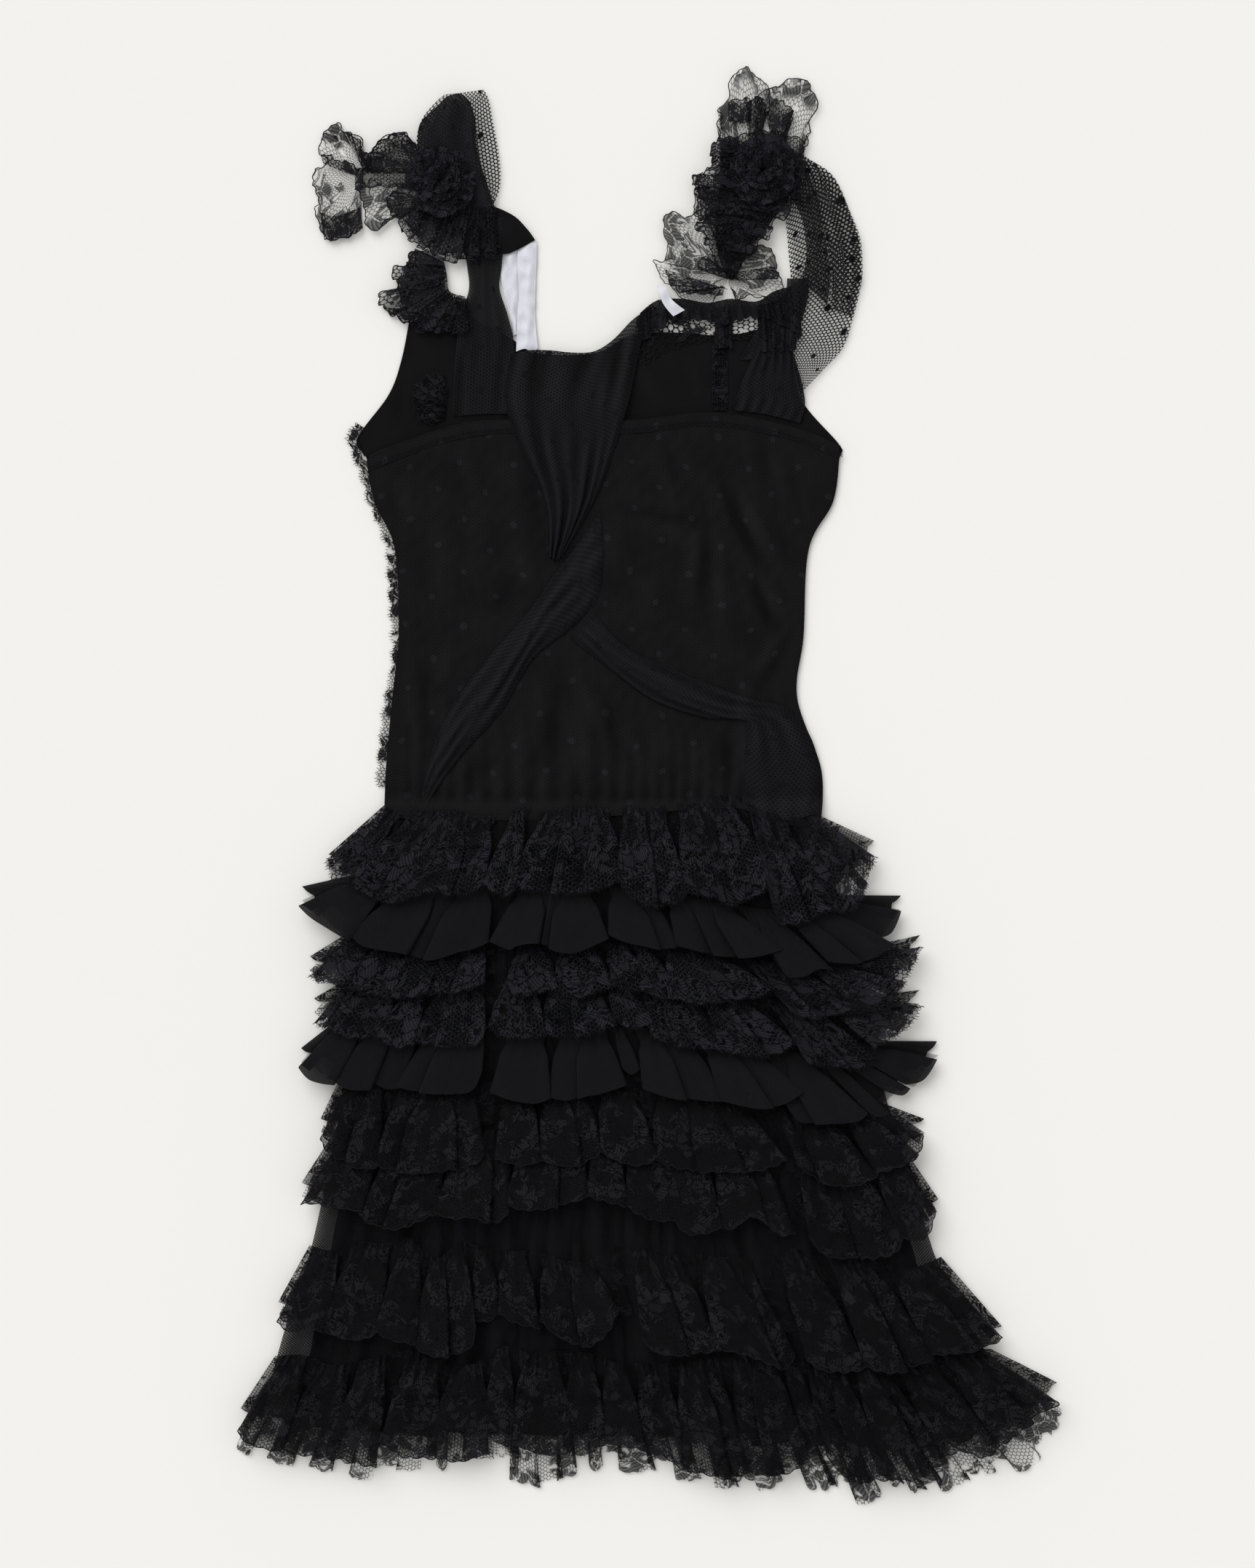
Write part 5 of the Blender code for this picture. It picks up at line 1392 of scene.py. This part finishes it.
tulle_panel("tulle_loop_right_cloth", "tulle_loop_right",
            "118,305 113,328 111,362 111,392 109,416 106,443 97,467 / 119,304 137,323 152,340 160,364 "
            "166,389 167,405 165,426 157,447 148,468 139,479 125,487 113,495 99,496",
            loop_height(2.6, 41, 2.6), DOTTED, 230, 60)
tulle_panel("tulle_loop_right_under", None,
            "143,370 143,396 139,425 130,459 119,483 / 159,364 165,389 166,405 164,426 157,447 148,468 "
            "139,479 119,492",
            loop_height(0.7, 42, 1.2), DOTTED, 200, 50, stretch=(0.97, 1.05))
tulle_panel("tulle_fold_right_cloth", None,
            "119,392 123,413 119,442 107,463 / 139,373 142,396 138,425 131,458 119,484 100,495",
            loop_height(5.0, 43, 2.4), DOUBLE_DOTTED, 160, 40)

# %% White satin tapes
def tape_height(level, seed):
    """Height of a tape that lies in a soft arch."""
    return lambda x, y, u, v: level + 0.7 * ripple(1.5 * x, y, seed, 13.0) + 0.9 * np.sin(math.pi * u) ** 2


tulle_panel("satin_tape_left_cloth", "satin_tape_left",
            "-104,337 -97,339 -91,336 -87,340 / -102,422 -97,427 -91,426 -88,422 / -103,362 -102,385 "
            "-103,408 / -89,362 -89,385 -88,408",
            tape_height(2.4, 51), SATIN, 30, 120, "satin")
tulle_panel("satin_tape_under_cloth", "satin_tape_under",
            "-107,349 -103,351 / -116,414 -101,418 / -109,364 -113,380 -116,396",
            tape_height(0.9, 52), SATIN, 24, 90, "satin")
tulle_panel("satin_tape_right_cloth", "satin_tape_right",
            "6,388 11,374 19,364 / 12,388 18,377 28,369",
            tape_height(6.2, 53), SATIN, 40, 16, "satin")

# %% [markdown]
# ## Bows, fans and rosettes
#
# The trims of the straps are short strips of sheer lace, gathered to a knot. Their lobes are single layers,
# so the table shines through the net between the petals. The rosettes are rings of the same lace sewn in a
# spiral until they are black.

# %% Bows and fans of sheer lace
frill("lace_bow_left_cloth", ["lace_bow_left"], [
    ("-224,473 -220,477 / -251,484 -256,491 -256,503 -252,512 -245,515 -236,510 -227,499 -219,487", 2, 61,
     1.0, LOBE),
    ("-226,476 -225,463 / -252,485 -259,479 -262,469 -259,454 -259,442 -253,425 -243,426 -234,429 -225,435",
     3, 62, 1.5, LOBE),
    ("-182,473 -182,447 / -227,473 -225,461 -223,447 -220,435 -212,433 -204,440 -195,443 -188,445", 3, 63,
     2.6, LOBE),
    ("-186,476 -178,484 / -217,476 -221,484 -215,496 -209,503 -197,508 -188,504 -180,494", 4, 64, 3.4, LOBE),
    ("-217,476 -212,485 / -221,476 -220,485 -214,496 -207,502 -197,507 -188,502 -180,492", 3, 69, 5.0, LOBE),
], BOW_LACE)
frill("lace_bow_right_cloth", ["lace_bow_right"], [
    ("54,490 71,491 87,495 / 55,504 56,526 63,542 69,555 76,559 84,553 92,545 95,535 88,510", 3, 65, 1.2,
     LOBE),
    ("82,494 100,493 119,484 / 88,516 89,536 98,544 109,548 120,551 127,542 131,533 127,516 121,492",
     3, 66, 1.6, LOBE),
], BOW_LACE)
frill("lace_fan_left_cloth", ["lace_fan_left"], [
    ("62,400 61,392 / 51,436 43,447 36,444 34,442 24,443 16,446 11,441 13,429 14,416 11,408 3,404 10,398 "
     "16,387 24,379 36,375 48,375 58,382", 4, 67, 2.4, dict(LOBE, lift=2.4)),
], BOW_LACE)
frill("lace_fan_right_cloth", ["lace_fan_right"], [
    ("62,398 62,390 / 68,404 79,413 87,420 95,417 99,405 99,397 105,393 105,384 98,376 90,379 79,380 "
     "68,379 64,386", 4, 68, 4.4, dict(LOBE, lift=1.0, sway=1.0)),
], BOW_LACE)

# %% Folds and knots of the bows
FOLD = dict(LOBE, sway=1.2, overlap=0.10)
frill("lace_bow_left_folds", [], [
    ("-230,481 -206,478 -179,478 / -230,463 -206,466 -179,463", 5, 91, 4.2, FOLD),
    ("-258,446 -244,443 -226,450 / -254,424 -243,425 -234,428 -224,434", 3, 92, 3.0, FOLD),
    ("-222,475 -227,478 / -238,509 -233,507 -226,498 -219,487 -219,478", 2, 93, 3.0, FOLD),
    ("-182,476 -176,484 / -219,477 -221,487 -214,496 -206,503 -197,508 -188,503 -179,493", 4, 94, 5.2, FOLD),
    ("-255,484 -241,478 -228,474 / -257,491 -242,486 -226,479", 2, 95, 3.6, FOLD),
    ("-184,459 -182,446 / -201,463 -204,452 -199,441 -187,445", 2, 96, 4.4, FOLD),
], DOUBLE_LACE)
frill("lace_bow_right_folds", [], [
    ("79,495 88,495 / 76,522 82,535 88,536 91,522", 2, 97, 4.0, FOLD),
    ("62,517 71,515 80,517 / 62,532 71,534 81,533", 2, 98, 4.0, FOLD),
    ("55,486 84,484 121,484 / 56,502 73,506 88,510 105,507 122,501", 5, 99, 4.4, FOLD),
    ("97,495 106,495 / 91,527 101,532 111,527 109,511", 2, 100, 3.2, FOLD),
], DOUBLE_LACE)
frill("lace_fan_folds", [], [
    ("63,398 62,393 / 44,412 38,405 42,400", 2, 101, 4.4, FOLD),
    ("63,398 63,392 / 96,403 100,398 100,393", 2, 102, 6.0, FOLD),
    ("56,442 57,459 / 39,438 36,449 36,463 37,473 47,474", 3, 103, 6.0, FOLD),
    ("62,385 56,389 / 13,401 17,390 24,384 39,382 56,382", 4, 104, 4.6, FOLD),
], DOUBLE_LACE)

# %% Dense frills along the straps
DENSE = dict(lift=2.6, sway=2.0, overlap=0.12, rows=12, steps=28, dip=1.8, scallop=(8.0, 1.4), ends=0.05,
             crimp=1.4, power=0.9)
frill("strap_ruffle_left_cloth", ["strap_ruffle_left"], [
    ("-160,406 -158,396 -156,384 -144,380 / -178,416 -188,409 -197,400 -200,386 -209,380 -207,369 -196,365 "
     "-189,359 -178,353 -155,352 -139,355", 7, 71, 2.4, DENSE),
    ("-160,410 -160,398 -157,382 -141,378 / -174,417 -184,410 -192,400 -194,387 -196,374 -189,363 -178,355 "
     "-157,353 -138,356", 6, 76, 4.4, DENSE),
    ("-179,451 -157,442 -121,446 / -194,446 -193,431 -185,422 -173,416 -160,410 -144,408 -130,410 -115,413",
     7, 72, 5.0, DENSE),
    ("-177,459 -152,450 -120,450 / -189,445 -185,431 -176,421 -160,413 -144,412 -130,414 -116,418",
     6, 77, 7.0, DENSE),
], LACE)
frill("strap_ruffle_right_cloth", ["strap_ruffle_right"], [
    ("81,499 79,465 73,430 64,394 / 54,504 48,484 46,474 36,474 37,460 49,447 39,438 43,425 54,404 63,393",
     7, 73, 7.4, DENSE),
    ("79,499 75,465 70,430 63,394 / 119,491 119,473 114,454 105,443 96,435 89,424 79,413 64,393", 6, 74,
     7.6, DENSE),
    ("90,495 84,465 76,430 63,395 / 62,500 55,478 52,459 52,436 55,419 62,394", 6, 75, 9.0, DENSE),
    ("73,495 68,465 65,430 62,396 / 115,490 113,470 107,453 97,441 87,427 64,395", 6, 78, 9.6, DENSE),
], LACE)

# %% Rosettes
PETAL_RINGS = ((1.0, 9), (0.80, 8), (0.60, 6), (0.40, 5))


def rosette(name, node, centre, radius, level, seed):
    """Rings of overlapping petals of lace, each cupped and a little higher than the one outside it."""
    layers = []
    for ring, (size, count) in enumerate(PETAL_RINGS):
        rng = np.random.default_rng(seed + ring)
        for petal in range(count):
            middle = 2 * math.pi * (petal + 0.5 * ring + rng.uniform(-0.15, 0.15)) / count
            half = 0.78 * 2 * math.pi / count * rng.uniform(0.85, 1.2)
            u, v = np.meshgrid(np.linspace(-1.0, 1.0, 27), np.linspace(0.0, 1.0, 15))
            reach = radius * size * rng.uniform(0.9, 1.06) * (1 - 0.20 * u ** 4)
            reach = reach * (0.16 + 0.84 * v) + 0.5 * np.abs(np.sin(9 * u)) * v
            angle = middle + half * u * (0.45 + 0.55 * v)
            cup = 2.6 * np.cos(0.5 * math.pi * u) * v ** 2 + 0.9 * np.sin(7 * u + seed + petal) * v
            lean = (petal % 2) * 1.1 + 1.3 * ring + 0.6 * u
            z = level + lean + 2.2 * np.sin(0.6 * math.pi * v) + cup * (1 - 0.35 * v)
            grid = np.dstack([centre[0] + reach * np.cos(angle), centre[1] + reach * np.sin(angle), z])
            layers.append((grid, flat_cloth(grid, 31.0 * petal, 40.0 * ring), False))
    piece = sheet(name, layers, ROSETTE_LACE)
    sew_in(piece, layers, [node], "lace")


rosette("rosette_left_cloth", "rosette_left", (-164, 469), 27.5, 10.0, 81)
rosette("rosette_right_cloth", "rosette_right", (88, 477), 27.0, 12.0, 82)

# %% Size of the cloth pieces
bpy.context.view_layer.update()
print("triangles in the cloth pieces:",
      sum(2 * len(o.data.polygons) for o in bpy.data.objects if o.name.endswith("_cloth")))
